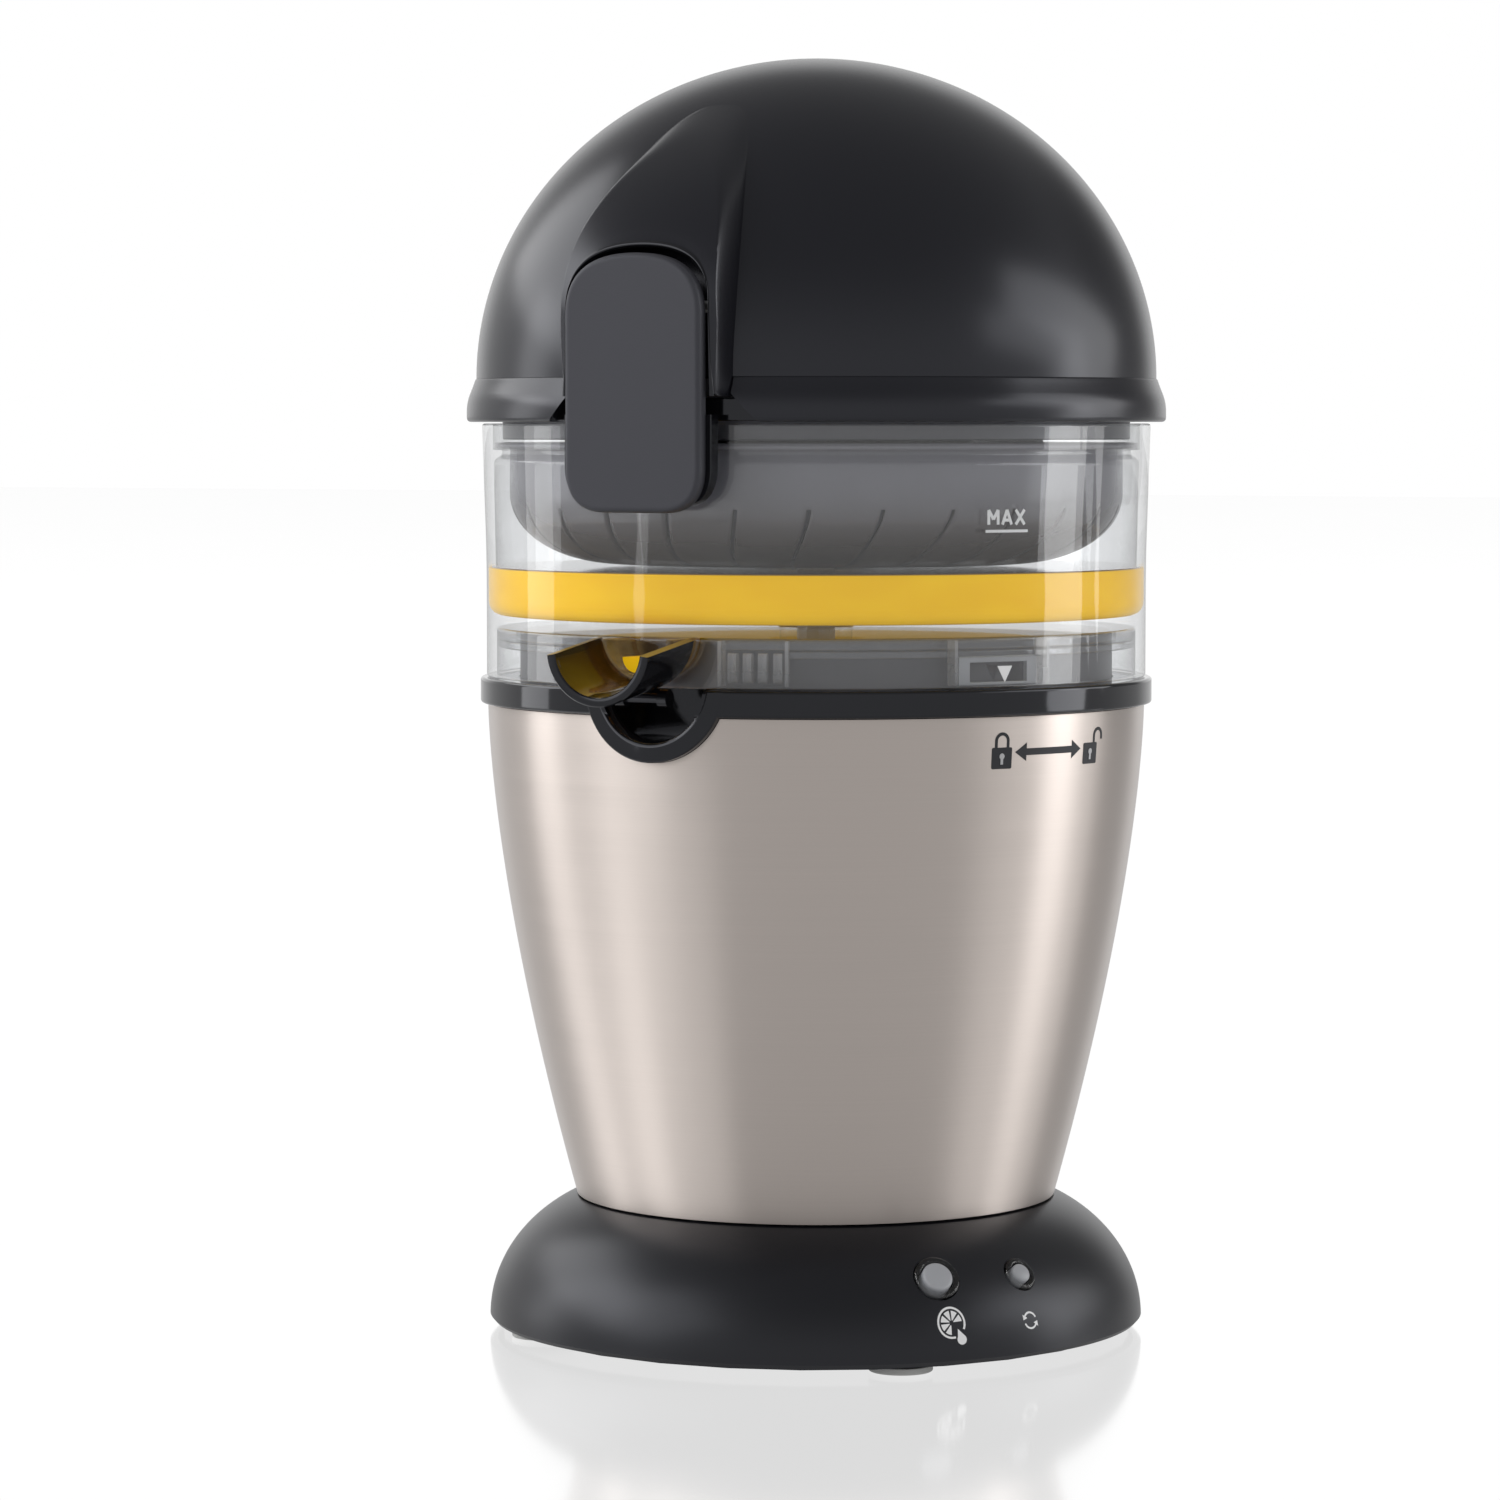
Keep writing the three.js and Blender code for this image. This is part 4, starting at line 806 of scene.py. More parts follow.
basket = build("basket", [strainer_sheet()], smoky_grey)
thick = basket.modifiers.new("wall", "SOLIDIFY")
thick.thickness = 0.0014
thick.offset = -1
settle(basket, "bowl", "smoky_plastic", "strainer")
settle(build("basket_blades", strainer_blades(), blade_grey), "bowl", "smoky_plastic")

# %% [markdown]
# The reamer is a ribbed cone. Its radius is a smooth profile plus ribs that fade in below the
# tip: the rib's share is a high power of |cos 4a|, which gives eight rounded blades.


# %% Reamer
def ribbed_cone():
    """r(z, a) = cone(z) + rib(z) * |cos 4a| ** 2.5, closed by a flat foot and a point on top."""
    low, high = bottom_of("reamer"), top_of("reamer")
    share = np.concatenate([[0, 0, 0.05, 0.07], np.linspace(0.08, 1, 40)])
    cone = np.interp(share, [0.05, 0.08, 0.3, 0.7, 0.9, 1], [26.8, 23, 19.5, 12.5, 6, 0.6])
    cone[:2] = [0, 26.8]
    cone[-1] = 0
    rib = np.interp(share, [0.08, 0.14, 0.5, 0.9, 1], [0, 2.6, 2.4, 1.2, 0])
    a = np.linspace(0, 2 * np.pi, 192, endpoint=False)[:, None]
    r = cone + rib * np.abs(np.cos(4 * a)) ** 2.5
    points = np.stack([r * np.sin(a), -r * np.cos(a), low + (high - low) * share + 0 * a], -1)
    return points, grid_faces(a.size, share.size, True, False)


settle(build("juicing_cone", [ribbed_cone()], smoky_grey), "output", "smoky_plastic", "reamer")

# %% [markdown]
# The press cup hangs in the lid on a stem, inside a guide, with a coil spring around them.
# It is a bell whose outline is a quarter ellipse, with six small fins that hold the peel.

# %% Press cup, stem, guide and spring
CUP_LOW, CUP_TOP = bottom_of("press_cup"), top_of("press_cup")
CUP_R = 41.0
quarter = np.radians(np.linspace(0, 90, 24))
bell = np.concatenate([
    np.stack([CUP_R * np.cos(quarter), CUP_LOW + (CUP_TOP - CUP_LOW) * np.sin(quarter)], 1),
    np.stack([(CUP_R - 2.5) * np.cos(quarter[::-1]),
              CUP_LOW + (CUP_TOP - CUP_LOW - 2.5) * np.sin(quarter[::-1])], 1)])


def box_between(low, high, turn_to=0.0):
    """A plain closed box, turned about Z: used only as a small rib or web."""
    x, y, z = [np.array([low[k], high[k]]) for k in range(3)]
    corners = np.array([[x[i], y[j], z[k]] for k in (0, 1)
                        for j, i in ((0, 0), (0, 1), (1, 1), (1, 0))])
    c, s = math.cos(math.radians(turn_to)), math.sin(math.radians(turn_to))
    corners = corners @ np.array([[c, s, 0], [-s, c, 0], [0, 0, 1]])
    faces = np.array([[0, 3, 2, 1], [4, 5, 6, 7], [0, 1, 5, 4], [1, 2, 6, 5], [2, 3, 7, 6],
                      [3, 0, 4, 7]])
    return corners, faces


fins = [box_between((CUP_R - 9, -0.8, CUP_LOW + 3), (CUP_R - 3.2, 0.8, CUP_LOW + 11), 30 + 60 * k)
        for k in range(6)]
settle(build("cup", [turn(bell, 160)], satin_black), "press", "satin_black", "press_cup")
settle(build("cup_fins", fins, satin_black), "press", "satin_black")

STEM_TOP = top_of("press_stem")
settle(turned_piece("stem", [(0, CUP_TOP + 0.3), (8, CUP_TOP + 2.2, 0.6), (8, STEM_TOP - 2.7, 0.3),
                             (10.6, STEM_TOP - 2.7, 0.4), (10.6, STEM_TOP, 0.4), (0, STEM_TOP)],
                    satin_black, 72, closed=False), "press", "satin_black", "press_stem")
GUIDE_LOW, GUIDE_TOP = bottom_of("press_guide"), top_of("press_guide")
settle(turned_piece("guide", [(13, GUIDE_LOW, 0.4), (13, GUIDE_TOP), (11.2, GUIDE_TOP),
                              (11.2, GUIDE_LOW + 2, 0.3), (8.3, GUIDE_LOW + 2, 0.3),
                              (8.3, GUIDE_LOW, 0.3)],
                    satin_black, 72), "lid", "satin_black", "press_guide")


def helix_wire(radius, wire, low, high, turns):
    """A round wire whose centre climbs evenly round a circle."""
    t = np.linspace(0, 1, turns * 40)
    a = 2 * np.pi * turns * t
    centre = np.stack([radius * np.sin(a), -radius * np.cos(a), low + (high - low) * t], 1)
    b = np.linspace(0, 2 * np.pi, 10, endpoint=False)
    out = np.stack([np.sin(a), -np.cos(a), 0 * a], 1)
    swell = np.clip(np.minimum(t, 1 - t) * turns * 12, 0, 1)[:, None, None]
    ring = (np.cos(b)[None, :, None] * out[:, None]
            + np.sin(b)[None, :, None] * np.array([0, 0, 1.0]))
    return centre[:, None] + wire * np.sqrt(swell) * ring, grid_faces(t.size, b.size, False, True)


spring_low, spring_high = bottom_of("press_spring"), top_of("press_spring")
coil = build("spring", [helix_wire(15.6, 0.8, spring_low + 0.8, spring_high - 0.8, 5)], plain_steel)
settle(coil, "lid", "plain_steel", "press_spring")
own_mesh(coil)
for label, (azimuth, height, *_) in BUTTONS.items():
    carry = on_slope(azimuth, height)
    wire_points, wire_faces = helix_wire(1.75, 0.25, -6.6, -3.6, 3)
    coil = build(f"{label}_coil", [(carry(wire_points), wire_faces)], plain_steel)
    settle(coil, "housing", "plain_steel", f"{label}_spring")
    seat, upper = carry(np.array([0, 0, -6.85])), carry(np.array([0, 0, 0.0]))
    direction = (upper - seat) / np.linalg.norm(upper - seat)
    tuple(seat / 1000)
    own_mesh(coil)

# %% [markdown]
# The lid is half an ellipsoid with a 3 mm wall. Its liner is a dark ring that reaches down
# inside the bowl's rim and shows through the clear wall as a dark band.

# %% Lid dome and liner
LID_WALL = 3.0


def dome_radius(z):
    """Radius of the ellipsoid's outside at a height."""
    return DOME_R * np.sqrt(np.clip(1 - ((z - RIM_TOP) / DOME_RISE) ** 2, 0, 1))


def half_ellipse(radius, rise, count=72):
    a = np.radians(np.linspace(0, 90, count))
    return np.stack([radius * np.cos(a), RIM_TOP + rise * np.sin(a)], 1)


shell = np.concatenate([half_ellipse(DOME_R, DOME_RISE),
                        half_ellipse(DOME_R - LID_WALL, DOME_RISE - LID_WALL)[::-1]])
settle(build("dome", [turn(shell, 240)], satin_black), "lid", "satin_black", "lid_shell")
LINER_LOW, LINER_TOP = bottom_of("lid_liner"), top_of("lid_liner")
liner = turned_piece("liner", [
    (80.8, LINER_LOW, 0.5), (80.8, 237, 1), (83.6, 240, 1), (83.6, LINER_TOP), (79, LINER_TOP),
    (79, LINER_LOW, 0.5)], turret_grey, 240)
settle(liner, "lid", "gloss_black", "lid_liner")

# %% [markdown]
# Front and rear, a raised pad swells out of the dome and frames a latch. Seen from the front
# it is a tall arch with a smaller arch cut out of it. So the pad is a strip carried along
# both arches: each step along the arch has a closed section that starts deep in the pocket,
# comes forward, crosses the pad's face, rounds over and sinks into the dome again.

# %% Latch pads
PAD_HALF, PAD_CENTRE, PAD_ARCH, PAD_LOW = 22.5, 255.0, 60.0, 240.5
PAD_FACE, PAD_CROWNING = 94.5, 0.006
ROLL_LOW, ROLL_GAIN, ROLL_FROM, ROLL_OVER = 2.2, 9.0, 262.0, 40.0
PAD_FOOT_ROUND = 1.6
POCKET_HALF, POCKET_TOP, CROWN = LATCH_HALF + 0.9, LATCH_TOP + 1.6, 15.0


def bezier(points, t):
    """A Bezier curve of any degree by repeated blending of its control points."""
    layers = [np.array(p, float)[None] + 0 * t[:, None] for p in points]
    while len(layers) > 1:
        layers = [(1 - t[:, None]) * a + t[:, None] * b for a, b in zip(layers, layers[1:])]
    return layers[0]


def pad_face(z):
    """How far the pad's face stands forward: upright, then a curve that runs into the dome."""
    curve = bezier([(PAD_FACE, 261), (PAD_FACE, 281), (76, 299), (46, 315)], np.linspace(0, 1, 200))
    return np.interp(z, curve[:, 1], curve[:, 0])


def along(path, count):
    """Evenly spaced points along a polyline."""
    step = np.concatenate([[0], np.cumsum(np.linalg.norm(np.diff(path, axis=0), axis=1))])
    at = np.linspace(0, step[-1], count)
    return np.stack([np.interp(at, step, path[:, k]) for k in range(2)], 1)


def mirrored(right):
    """A path up the right side, continued down the left side."""
    return np.concatenate([right, (right * [-1, 1])[-2::-1]])


def pad_section_curves(count=181):
    t = np.linspace(0, 1, 60)
    crown = bezier([(POCKET_HALF, POCKET_TOP - CROWN), (POCKET_HALF, POCKET_TOP),
                    (0, POCKET_TOP)], t)
    inner = mirrored(np.concatenate([[[POCKET_HALF, PAD_LOW]], crown]))
    a = np.radians(np.linspace(0, 90, 60))[:, None]
    arch = np.concatenate([PAD_HALF * np.cos(a), PAD_CENTRE + PAD_ARCH * np.sin(a)], 1)
    outer = mirrored(np.concatenate([[[PAD_HALF, PAD_LOW]], arch]))
    return along(inner, count), along(outer, count)


def latch_pad():
    """For each step along the arches, a section: pocket wall, face, cheek and back. Near its
    outer edge the face falls to the dome as 1 - (1 - s) ** 2.2, where s is the distance from
    the edge as a share of the roll's width, which grows with height."""
    inner, outer = pad_section_curves()
    across = np.concatenate([[0.0, 0.0, 0.0], np.linspace(0, 1, 25)])
    xz = inner[:, None] + (outer - inner)[:, None] * across[None, :, None]
    x, z = xz[..., 0], xz[..., 1]
    dome = np.sqrt(np.maximum(dome_radius(z) ** 2 - x**2, 0))
    face = pad_face(z) - PAD_CROWNING * x**2
    lift = np.maximum(face - dome, 0)
    from_edge = np.linalg.norm(outer[:, None] - xz, axis=2)
    soft = ROLL_LOW + ROLL_GAIN * np.clip((z - ROLL_FROM) / ROLL_OVER, 0, 1) ** 1.5
    s = np.clip(from_edge / soft, 0, 1)
    rise = np.where(s < 1, 1 - (1 - s) ** 2.2, 1)
    y = dome - 0.15 + (lift + 0.15) * rise
    foot = np.clip(1 - (z - PAD_LOW) / PAD_FOOT_ROUND, 0, 1)
    y = y - PAD_FOOT_ROUND * (1 - np.sqrt(1 - foot**2))
    y[:, 0] = np.minimum(y[:, 3] - 0.3, dome[:, 0] - 1.0)
    y[:, 1] -= 0.5
    y[:, 2] -= 0.15
    grow = np.array([0.0, 0.0, 0.15, 0.5])[None, :, None]
    outward = (outer - inner) / np.linalg.norm(outer - inner, axis=1, keepdims=True)
    xz[:, :4] += outward[:, None] * grow
    xz = np.concatenate([xz, outer[:, None]], 1)
    y = np.concatenate([y, dome[:, -1:] - 2.0], 1)
    points = np.stack([xz[..., 0], -y, xz[..., 1]], -1)
    return points, grid_faces(*y.shape, False, True)


# The rear pieces are the front ones turned half round.
SIDES = {"front": lambda points: points, "rear": lambda points: points * np.array([-1, -1, 1])}
pad_points, pad_faces = capped(*latch_pad())
for side, place in SIDES.items():
    settle(build(f"pad_around_{side}_latch", [(place(pad_points), pad_faces)], satin_black, 50),
           "lid", "satin_black")

# %% [markdown]
# A fine polished bead runs round the pocket's mouth and catches the light beside the latch.
# It is a round section carried along the inner arch, lying on the pad's face.


# %% Bead round the pocket
def pocket_bead(radius=0.75, steps=121, sides=12):
    """Centre: the inner arch moved outwards, on the face. Section: a circle in the plane of
    the outward direction and Y."""
    inner, outer = pad_section_curves(steps)
    outward = (outer - inner) / np.linalg.norm(outer - inner, axis=1, keepdims=True)
    centre = inner + 0.6 * outward
    y = pad_face(centre[:, 1]) - PAD_CROWNING * centre[:, 0] ** 2 - 0.35
    b = np.linspace(0, 2 * np.pi, sides, endpoint=False)
    xz = centre[:, None] + radius * np.cos(b)[None, :, None] * outward[:, None]
    depth = -(y[:, None] + radius * np.sin(b)[None, :])
    points = np.stack([xz[..., 0], depth, xz[..., 1]], -1)
    return capped(points, grid_faces(steps, sides, False, True))


bead_points, bead_faces = pocket_bead()
for side, place in SIDES.items():
    settle(build(f"{side}_pocket_bead", [(place(bead_points), bead_faces)], gloss_black, 60),
           "lid", "gloss_black")

# %% [markdown]
# The lid's lower rim flares a little over the bowl. It stops short of the latches with slanted
# ends, so it is turned in two halves whose first and last angles depend on the height.


# %% Lid rim
RIM_INSIDE = 84.9


def rim_half(first_side):
    """A closed profile swept from one latch to the other. An end lies where |x| is the half
    width of the gap, which widens towards the bottom."""
    outline = rounded([(RIM_INSIDE, RIM_TOP), (DOME_R + 0.2, RIM_TOP, 0.4),
                       (DOME_R + 0.9, RIM_TOP - 2, 2), (RIM_R, RIM_TOP - 6, 3),
                       (RIM_R, RIM_LOW, 1.2), (RIM_INSIDE, RIM_LOW, 0.5)])
    r, z = outline[:, 0], outline[:, 1]
    gap = PAD_HALF + 0.3 + 7 * np.clip((PAD_LOW + 0.7 - z) / 7.2, 0, 1)
    start = np.arcsin(gap / r)
    share = np.concatenate([[0, 0.002], np.linspace(0.01, 0.99, 110), [0.998, 1]])[:, None]
    a = start + (np.pi - 2 * start) * share
    points = np.stack([first_side * r * np.sin(a), -r * np.cos(a), z + 0 * a], -1)
    return capped(points, grid_faces(share.size, r.size, False, True))


web = rounded([(84.6, RIM_LOW + 0.2, 0.3), (84.6, PAD_LOW - 0.4, 0.3), (86.2, PAD_LOW - 0.4, 0.4),
               (86.2, RIM_LOW + 0.2, 0.4)])
rim = build("rim", [rim_half(1), rim_half(-1)], satin_black)
settle(rim, "lid", "satin_black", "lid_rim")
settle(build("rim_web", [turn(web, 200)], gloss_black), "lid", "satin_black")

# %% [markdown]
# A latch is a flat arch-shaped plate with softly rounded edges, a barrel that turns on a pin
# in the pad, and a hook inside its lower end that catches the bowl's ridge.


# %% Latches
def latch_outline():
    t = np.linspace(0, 1, 26)
    corner = 11.0
    bottom = bezier([(LATCH_HALF - corner, LATCH_LOW), (LATCH_HALF, LATCH_LOW),
                     (LATCH_HALF, LATCH_LOW + corner)], t)
    top = bezier([(LATCH_HALF, LATCH_TOP - CROWN), (LATCH_HALF, LATCH_TOP), (0, LATCH_TOP)], t)
    right = np.concatenate([bottom, top])
    return np.concatenate([right, (right * [-1, 1])[-2::-1]])


def plate(outline, front, back, edge):
    """A plate between two faces in Y whose front edge is rounded: the outline moves inwards
    by edge * (1 - cos), while the surface comes forward by edge * sin."""
    step = np.roll(outline, -1, 0) - np.roll(outline, 1, 0)
    normal = np.stack([step[:, 1], -step[:, 0]], 1) / np.linalg.norm(step, axis=1, keepdims=True)
    a = np.radians(np.linspace(0, 90, 7))
    inset = np.concatenate([[0.35, 0], edge * (1 - np.cos(a)), [edge + 0.4]])
    depth = np.concatenate([[back, back + 0.35], front - edge + edge * np.sin(a), [front]])
    xz = outline[None] - inset[:, None, None] * normal[None]
    points = np.stack([xz[..., 0], -(depth[:, None] + 0 * xz[..., 0]), xz[..., 1]], -1)
    faces = grid_faces(inset.size, outline.shape[0], False, True)
    return capped(points, faces)


def hook_body_and_shade(top=236.0, bottom=213.8, half=20.6, wall=5.4, inner_bottom=221.2):
    """A U-shaped body behind the plate: two side walls and a rounded bottom. It is partly the
    latch's inner body and partly painted shade: its black darkens the gap behind the latch.
    """
    corner = bezier([(half - 9, bottom), (half, bottom), (half, bottom + 10)],
                    np.linspace(0, 1, 12))
    outer = np.concatenate([corner, [[half, top]]])
    inner = np.array([[half - wall, top], [half - wall, inner_bottom]])
    right = np.concatenate([outer, inner])
    outline = np.concatenate([right, (right * [-1, 1])[::-1]])
    flat = np.stack([outline[:, 0], 0 * outline[:, 0], outline[:, 1]], 1)
    depths = [-LATCH_FACE + 3.2, -88.6, -88.0]
    inset = [1.0, 1.0, 0.96]
    rings = [flat * [k, 1, 1] + [0, depth, 0] for k, depth in zip(inset, depths)]
    return capped(np.stack(rings), grid_faces(len(rings), len(outline), False, True))


PIN_Y, PIN_Z = 89.5, 262.0
latch_parts = [
    plate(latch_outline(), LATCH_FACE, LATCH_FACE - 3.5, 1.3),
    rod(3.0, (-15, -PIN_Y, PIN_Z), (15, -PIN_Y, PIN_Z), 40),
    box_between((-15, -92, PIN_Z - 3), (15, -PIN_Y, PIN_Z + 2)),
    box_between((-12, -92, 216.5), (12, -88.5, 220.5)),
]
for side, place in SIDES.items():
    parts = [(place(points), faces) for points, faces in latch_parts]
    settle(build(f"{side}_latch_plate", parts, matte_charcoal), f"{side}_latch", "matte_charcoal",
           f"latch_{side}")
    # The black body behind each plate is partly painted shade: it darkens the gap behind the latch.
    block_points, block_faces = hook_body_and_shade()
    settle(build(f"{side}_latch_body_and_shade", [(place(block_points), block_faces)], gloss_black),
           f"{side}_latch", "matte_charcoal")

# %% [markdown]
# Small printed marks tell the user what to press and turn. Each is drawn flat, in millimetres,
# as strokes and filled outlines, and then wrapped onto the body as a thin raised print.


# %% Printed marks
PRINT = 0.06


def stroke(path, width):
    """A ribbon of even width along a flat path, with a thin box section."""
    path = np.array(path, float)
    step = np.gradient(path, axis=0)
    side = np.stack([-step[:, 1], step[:, 0]], 1) / np.linalg.norm(step, axis=1, keepdims=True)
    half = width / 2
    left, right = path + half * side, path - half * side
    flat = np.stack([left, left, right, right], 1)
    lift = np.array([-0.1, PRINT, PRINT, -0.1])[None, :, None] + 0 * flat[..., :1]
    return capped(np.concatenate([flat, lift], 2), grid_faces(len(path), 4, False, True))


def filled(outline, height=PRINT):
    outline = np.array(outline, float)
    flat = np.stack([outline, outline])
    lift = np.array([-0.1, height])[:, None, None] + 0 * flat[..., :1]
    return capped(np.concatenate([flat, lift], 2), grid_faces(2, len(outline), False, True))


def arc(radius, first, last, centre=(0, 0), count=24):
    a = np.radians(np.linspace(first, last, count))
    return np.stack([centre[0] + radius * np.cos(a), centre[1] + radius * np.sin(a)], 1)


def line(start, end, steps=12):
    return np.linspace(start, end, steps)


def on_turned(radius_at, azimuth, height):
    """Wraps a flat drawing round a turned surface: along its girth, and up it."""
    def carry(points):
        z = height + points[..., 1]
        radius = radius_at(z) + points[..., 2]
        a = math.radians(azimuth) + points[..., 0] / radius_at(height)
        return np.stack([radius * np.sin(a), -radius * np.cos(a), z], -1)
    return carry


def mark(name, shapes, carry, finish, body="housing"):
    piece = build(name, [(carry(points), faces) for points, faces in shapes], finish, 60)
    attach(piece, body)


def rounded_box(half_width, low, high, size):
    corners = [(-half_width, low, size), (half_width, low, size), (half_width, high, size),
               (-half_width, high, size)]
    return rounded(corners)


def padlock(open_shackle):
    """A filled body with a shackle that either closes into it or stands beside it."""
    body = filled(rounded_box(3.0, -4.0, 1.3, 0.5))
    shift = 3.3 if open_shackle else 0.0
    hoop = arc(1.75, 0, 180, (shift, 2.9))
    free, held = (2.0, 1.1)
    right_end = free if open_shackle else held
    legs = np.concatenate([[[shift + 1.75, right_end]], hoop, [[shift - 1.75, held]]])
    return [body, stroke(legs, 0.8)]


def keyhole():
    """A round eye with a leg, a little higher than the print around it."""
    shape = np.concatenate([arc(0.75, -60, 240, (0, -0.9)), [[-0.4, -2.9], [0.4, -2.9]]])
    return [filled(shape, 0.1)]


def double_arrow():
    heads = [filled([(side * 8.0, 2.3), (side * 11.6, 0), (side * 8.0, -2.3)][::side])
             for side in (1, -1)]
    return [stroke(line((-8.2, 0), (8.2, 0), 24), 1.7), *heads]


MARK_HEIGHT = 153.2
for label, shapes, azimuth in (("locked", padlock(False), 61.0), ("turn", double_arrow(), 71.6),
                               ("unlocked", padlock(True), 82.4)):
    mark(f"mark_{label}", shapes, on_turned(sleeve_radius, azimuth, MARK_HEIGHT), print_black)
    if label != "turn":
        mark(f"keyhole_{label}", keyhole(), on_turned(sleeve_radius, azimuth, MARK_HEIGHT),
             plain_steel)

letters = {
    "M": [[(0, 0), (0, 1)], [(0, 1), (0.5, 0.35)], [(0.5, 0.35), (1, 1)], [(1, 1), (1, 0)]],
    "A": [[(0, 0), (0.5, 1)], [(0.5, 1), (1, 0)], [(0.2, 0.3), (0.8, 0.3)]],
    "X": [[(0, 0), (1, 1)], [(0, 1), (1, 0)]],
}


def bowl_radius(z):
    return BOWL_R + 0 * z


def letter_stroke(place, start, end):
    """One stroke of a letter, from its unit square to its place above the line."""
    size, shift = np.array([2.7, 3.6]), np.array([4.0 * place - 5.4, 1.6])
    return stroke(line(np.array(start) * size + shift, np.array(end) * size + shift), 0.75)


level = [letter_stroke(k, *ends) for k, letter in enumerate("MAX") for ends in letters[letter]]
level.append(stroke(line((-6.3, 0), (6.3, 0)), 0.7))
mark("mark_level", level, on_turned(bowl_radius, 61.6, 207.6), print_white, "bowl")
mark("mark_position", [filled([(0, -2.0), (2.2, 2.0), (-2.2, 2.0)])],
     on_turned(bowl_radius, 61.2, 172.6), print_white, "bowl")


def fruit_and_drop():
    """A round citrus slice with eight segments, and a drop leaving it at the lower right."""
    centre = np.array([0.0, 0.9])
    peel = stroke(arc(3.55, -28, 282, centre, 48), 0.5)
    segments = []
    for k in range(8):
        middle = 45 * k + 22.5
        if abs(middle - 315) < 30:
            continue
        wedge = np.concatenate([arc(0.6, middle + 8, middle - 8, centre, 3),
                                arc(2.85, middle - 17, middle + 17, centre, 8)])
        segments.append(filled(wedge))
    drop = np.concatenate([[[1.5, -0.6]], arc(1.25, 150, 395, (2.4, -3.2), 24)])
    return [peel, *segments, filled(drop)]


def two_arrows():
    """Two arcs chasing each other round a circle."""
    shapes = []
    for start in (20, 200):
        shapes.append(stroke(arc(1.9, start, start + 125), 0.45))
        tip = math.radians(start + 125)
        centre = np.array([1.9 * math.cos(tip), 1.9 * math.sin(tip)])
        ahead = np.array([-math.sin(tip), math.cos(tip)])
        across = np.array([math.cos(tip), math.sin(tip)])
        shapes.append(filled([centre + 0.8 * across, centre + 1.1 * ahead, centre - 0.8 * across]))
    return shapes


mark("mark_juice", fruit_and_drop(), on_turned(flare_radius, 52.0, 12.0), print_white)
mark("mark_reverse", two_arrows(), on_turned(flare_radius, 68.0, 11.6), print_white)

# %% [markdown]
# The CAD model also holds everything inside: motor, gears, bearings, board, screws. Those
# nodes keep their own meshes and get finishes by what they are made of.

# %% Finishes of the inner parts
FINISHES = {
    plain_steel: ["bottom_screw_", "gearbox_screw_", "idler_pin", "motor_can", "motor_end_cap",
                  "motor_mount_plate", "motor_rotor", "drive_spindle", "latch_pin_"],
    turned_brass: ["upper_bearing", "lower_bearing"],
    gear_nylon: ["idler_gear", "output_gear"],
    board_green: ["control_board"],
    foot_rubber: ["spindle_seal"],
    satin_black: ["bottom_plate", "cord_gland", "inner_housing", "spout_pin"],
    turret_grey: ["motor_stator", "gearbox_case", "gearbox_cover", "start_switch",
                  "reverse_switch"],
}
named = 0
for finish, starts in FINISHES.items():
    for name, node in frame["nodes"].items():
        if name.startswith(tuple(starts)):
            node.data.materials.clear()
            node.data.materials.append(finish)
            named += 1
print(f"{named} CAD nodes carry a finish of their own")

# %% [markdown]
# Weighted normals keep wide faces flat beside small roundings. They only change how light
# turns over the edges, not the shape.

# %% Even shading
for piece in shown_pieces():
    if "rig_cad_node" not in piece:
        piece.modifiers.new("even", "WEIGHTED_NORMAL").keep_sharp = True

# %% [markdown]
# The machine is lit like a product in a studio. Soft panels to its left and right draw the
# long bright bands on the steel and on the bowl: each side has a tall one, a low one that
# only the upright walls mirror, and dimmer ones beside them that soften the band's inner
# edge. Straight ahead the room is dim, and dimmer above, so that the black lid stays black.
# The paper behind is white.


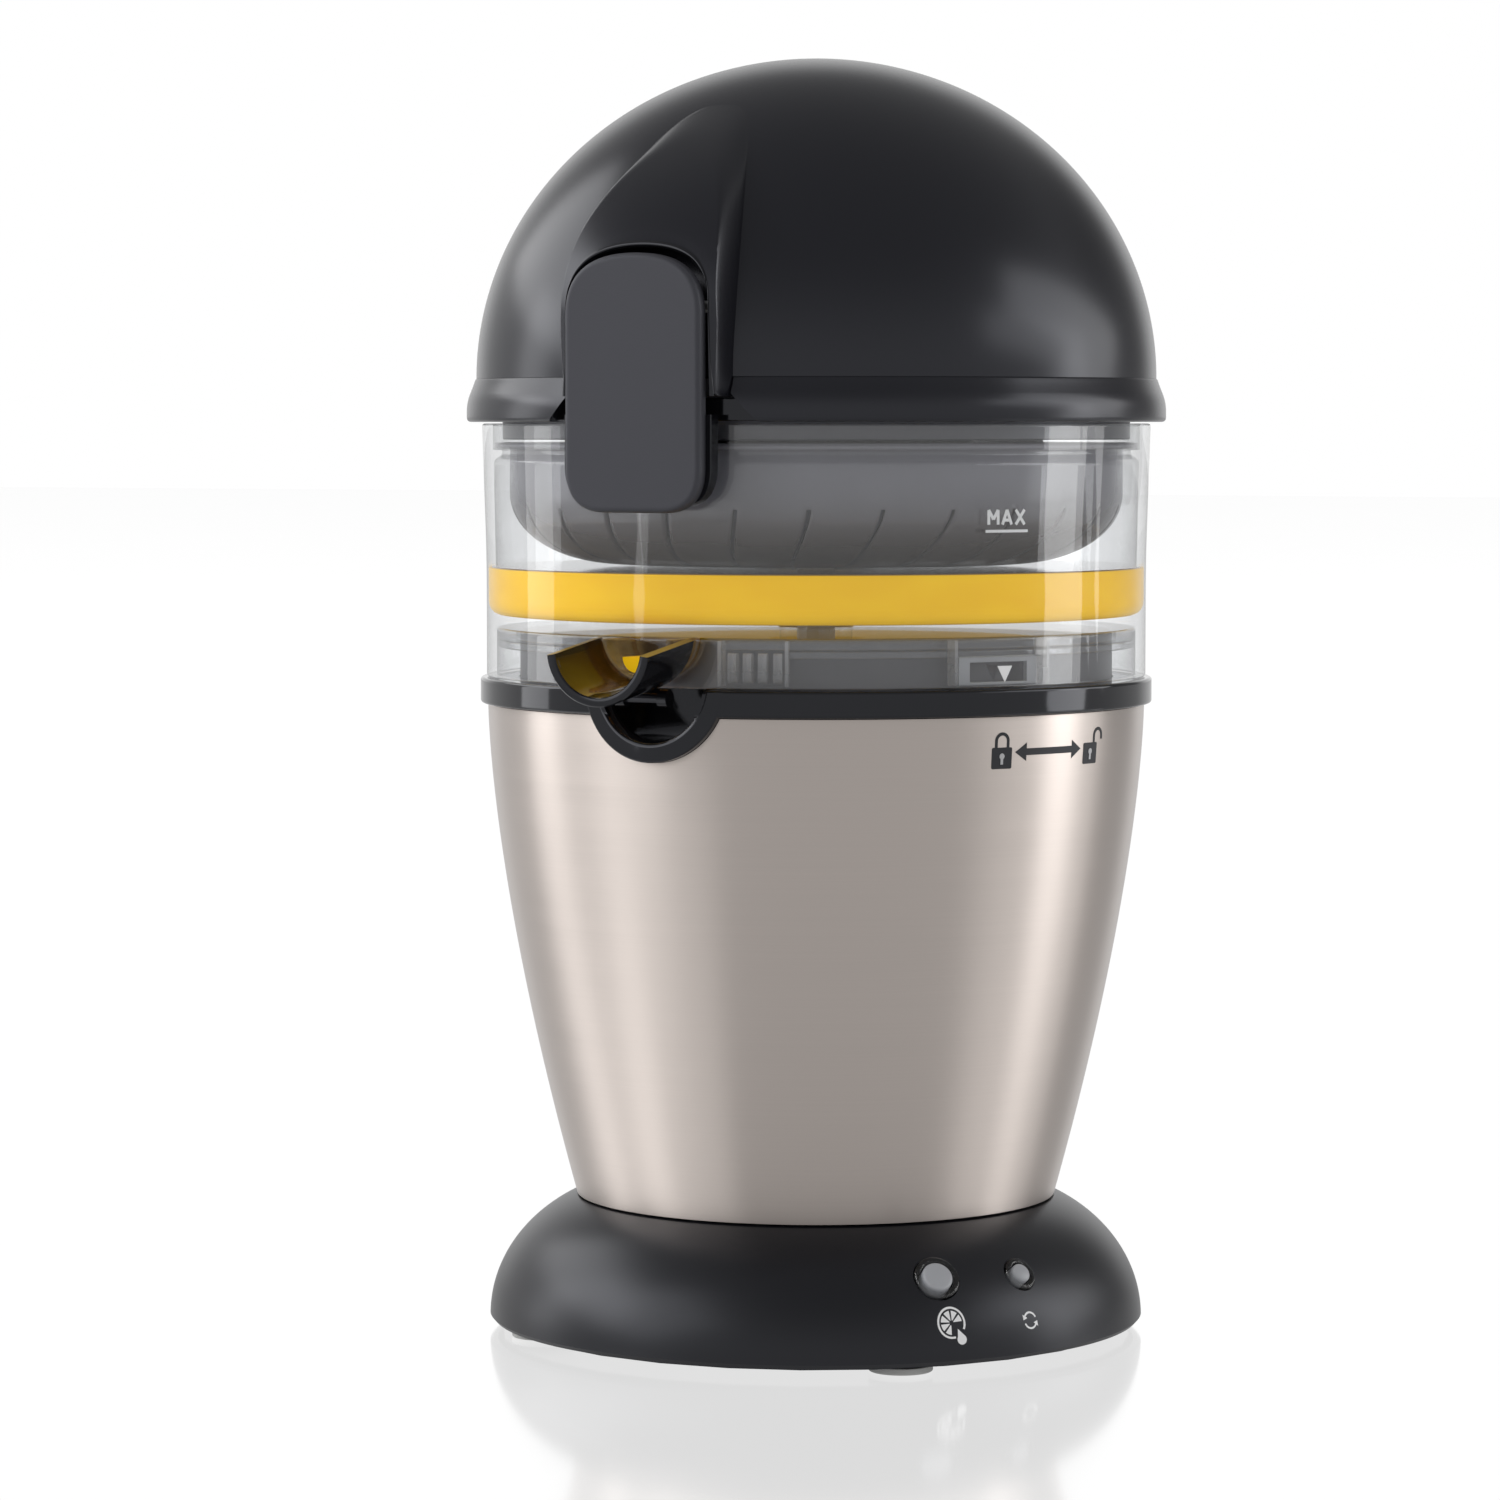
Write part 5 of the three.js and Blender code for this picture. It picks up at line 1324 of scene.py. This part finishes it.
# %% Studio room
def studio_room():
    """Brightness over the direction of a ray: 0.66 at eye level, falling to 0.3 overhead, less
    at the right rear, and 1 towards the white paper behind the machine. The camera sees the
    paper everywhere."""
    s = Shader("room", "worlds")
    toward = s.node("ShaderNodeTexCoord", output="Generated")
    up = s.node("ShaderNodeSeparateXYZ", {}, {"Vector": toward}, output="Z")

    def facing(direction):
        return s.node("ShaderNodeVectorMath", {"operation": "DOT_PRODUCT"},
                      {0: toward, 1: direction}, output="Value")

    right_rear, behind = (0.259, 0.966, 0), (-0.46, 0.888, 0)
    height = s.node("ShaderNodeMapRange", {"interpolation_type": "SMOOTHSTEP"},
                    {"Value": up, "From Min": 0.05, "From Max": 0.75,
                     "To Min": 0.66, "To Max": 0.3})
    shade = s.node("ShaderNodeMapRange", {"interpolation_type": "SMOOTHSTEP"},
                   {"Value": facing(right_rear), "From Min": 0.75, "From Max": 0.93,
                    "To Min": 1.0, "To Max": 0.35})
    paper = s.node("ShaderNodeMapRange", {"interpolation_type": "SMOOTHSTEP"},
                   {"Value": facing(behind), "From Min": 0.78, "From Max": 0.93})
    seen = s.node("ShaderNodeLightPath", output="Is Camera Ray")
    white = s.math("MAXIMUM", paper, seen)
    strength = height * shade * (1 - white) + white
    light = s.node("ShaderNodeBackground", {}, {"Color": (1, 1, 1, 1), "Strength": strength})
    return s.finish(light, "ShaderNodeOutputWorld")


def pale_floor():
    """White paper under a clear sheet: an even white, with a faint mirror image."""
    s = Shader("pale_floor")
    mottle = s.noise(3, 2)
    tone = s.blend(mottle, (0.985, 0.985, 0.985), (1, 1, 1))
    seen = s.node("ShaderNodeLightPath", output="Is Camera Ray")
    paper = s.node("ShaderNodeEmission", {}, {"Color": tone, "Strength": seen * 0.42 + 0.6})
    sheen = s.node("ShaderNodeBsdfAnisotropic", {}, {"Roughness": 0.1, "Color": (1, 1, 1, 1)})
    return s.finish(s.node("ShaderNodeMixShader", {},
                           {0: mottle * 0.02 + 0.29, 1: paper, 2: sheen}))


bpy.ops.mesh.primitive_plane_add(size=30)
floor = bpy.context.object
floor.name = "floor"
floor.data.materials.append(pale_floor())
bpy.context.scene.world = studio_room()
bpy.context.scene.view_settings.view_transform = "Standard"


# %% Soft panels
def soft_panel(name, azimuth, spread, brightness, low=-0.05, high=0.95, distance=1.6):
    """An upright panel facing the machine. Its power follows from the brightness wanted:
    brightness * area * pi."""
    light = bpy.data.lights.new(name, "AREA")
    light.shape = "RECTANGLE"
    light.size = 2 * distance * math.tan(math.radians(spread / 2))
    light.size_y = high - low
    light.energy = brightness * light.size * light.size_y * math.pi
    panel = bpy.data.objects.new(name, light)
    a = math.radians(azimuth)
    place = Vector((distance * math.sin(a), -distance * math.cos(a), (low + high) / 2))
    panel.location = place
    panel.rotation_euler = Vector((-place.x, -place.y, 0)).to_track_quat("-Z", "Z").to_euler()
    bpy.context.collection.objects.link(panel)


soft_panel("left_tall", -76, 38, 2.1, high=2.2)
soft_panel("left_band", -80, 42, 1.7, high=0.4)
soft_panel("left_inner", -50, 16, 1.4, high=1.6)
soft_panel("left_fill", -28, 26, 1.4, low=0.45, high=1.8)
soft_panel("right_tall", 122, 18, 1.9, high=1.5)
soft_panel("right_band", 122, 18, 2.5, high=0.4)
soft_panel("right_soft", 107, 12, 1.4, high=1.2)
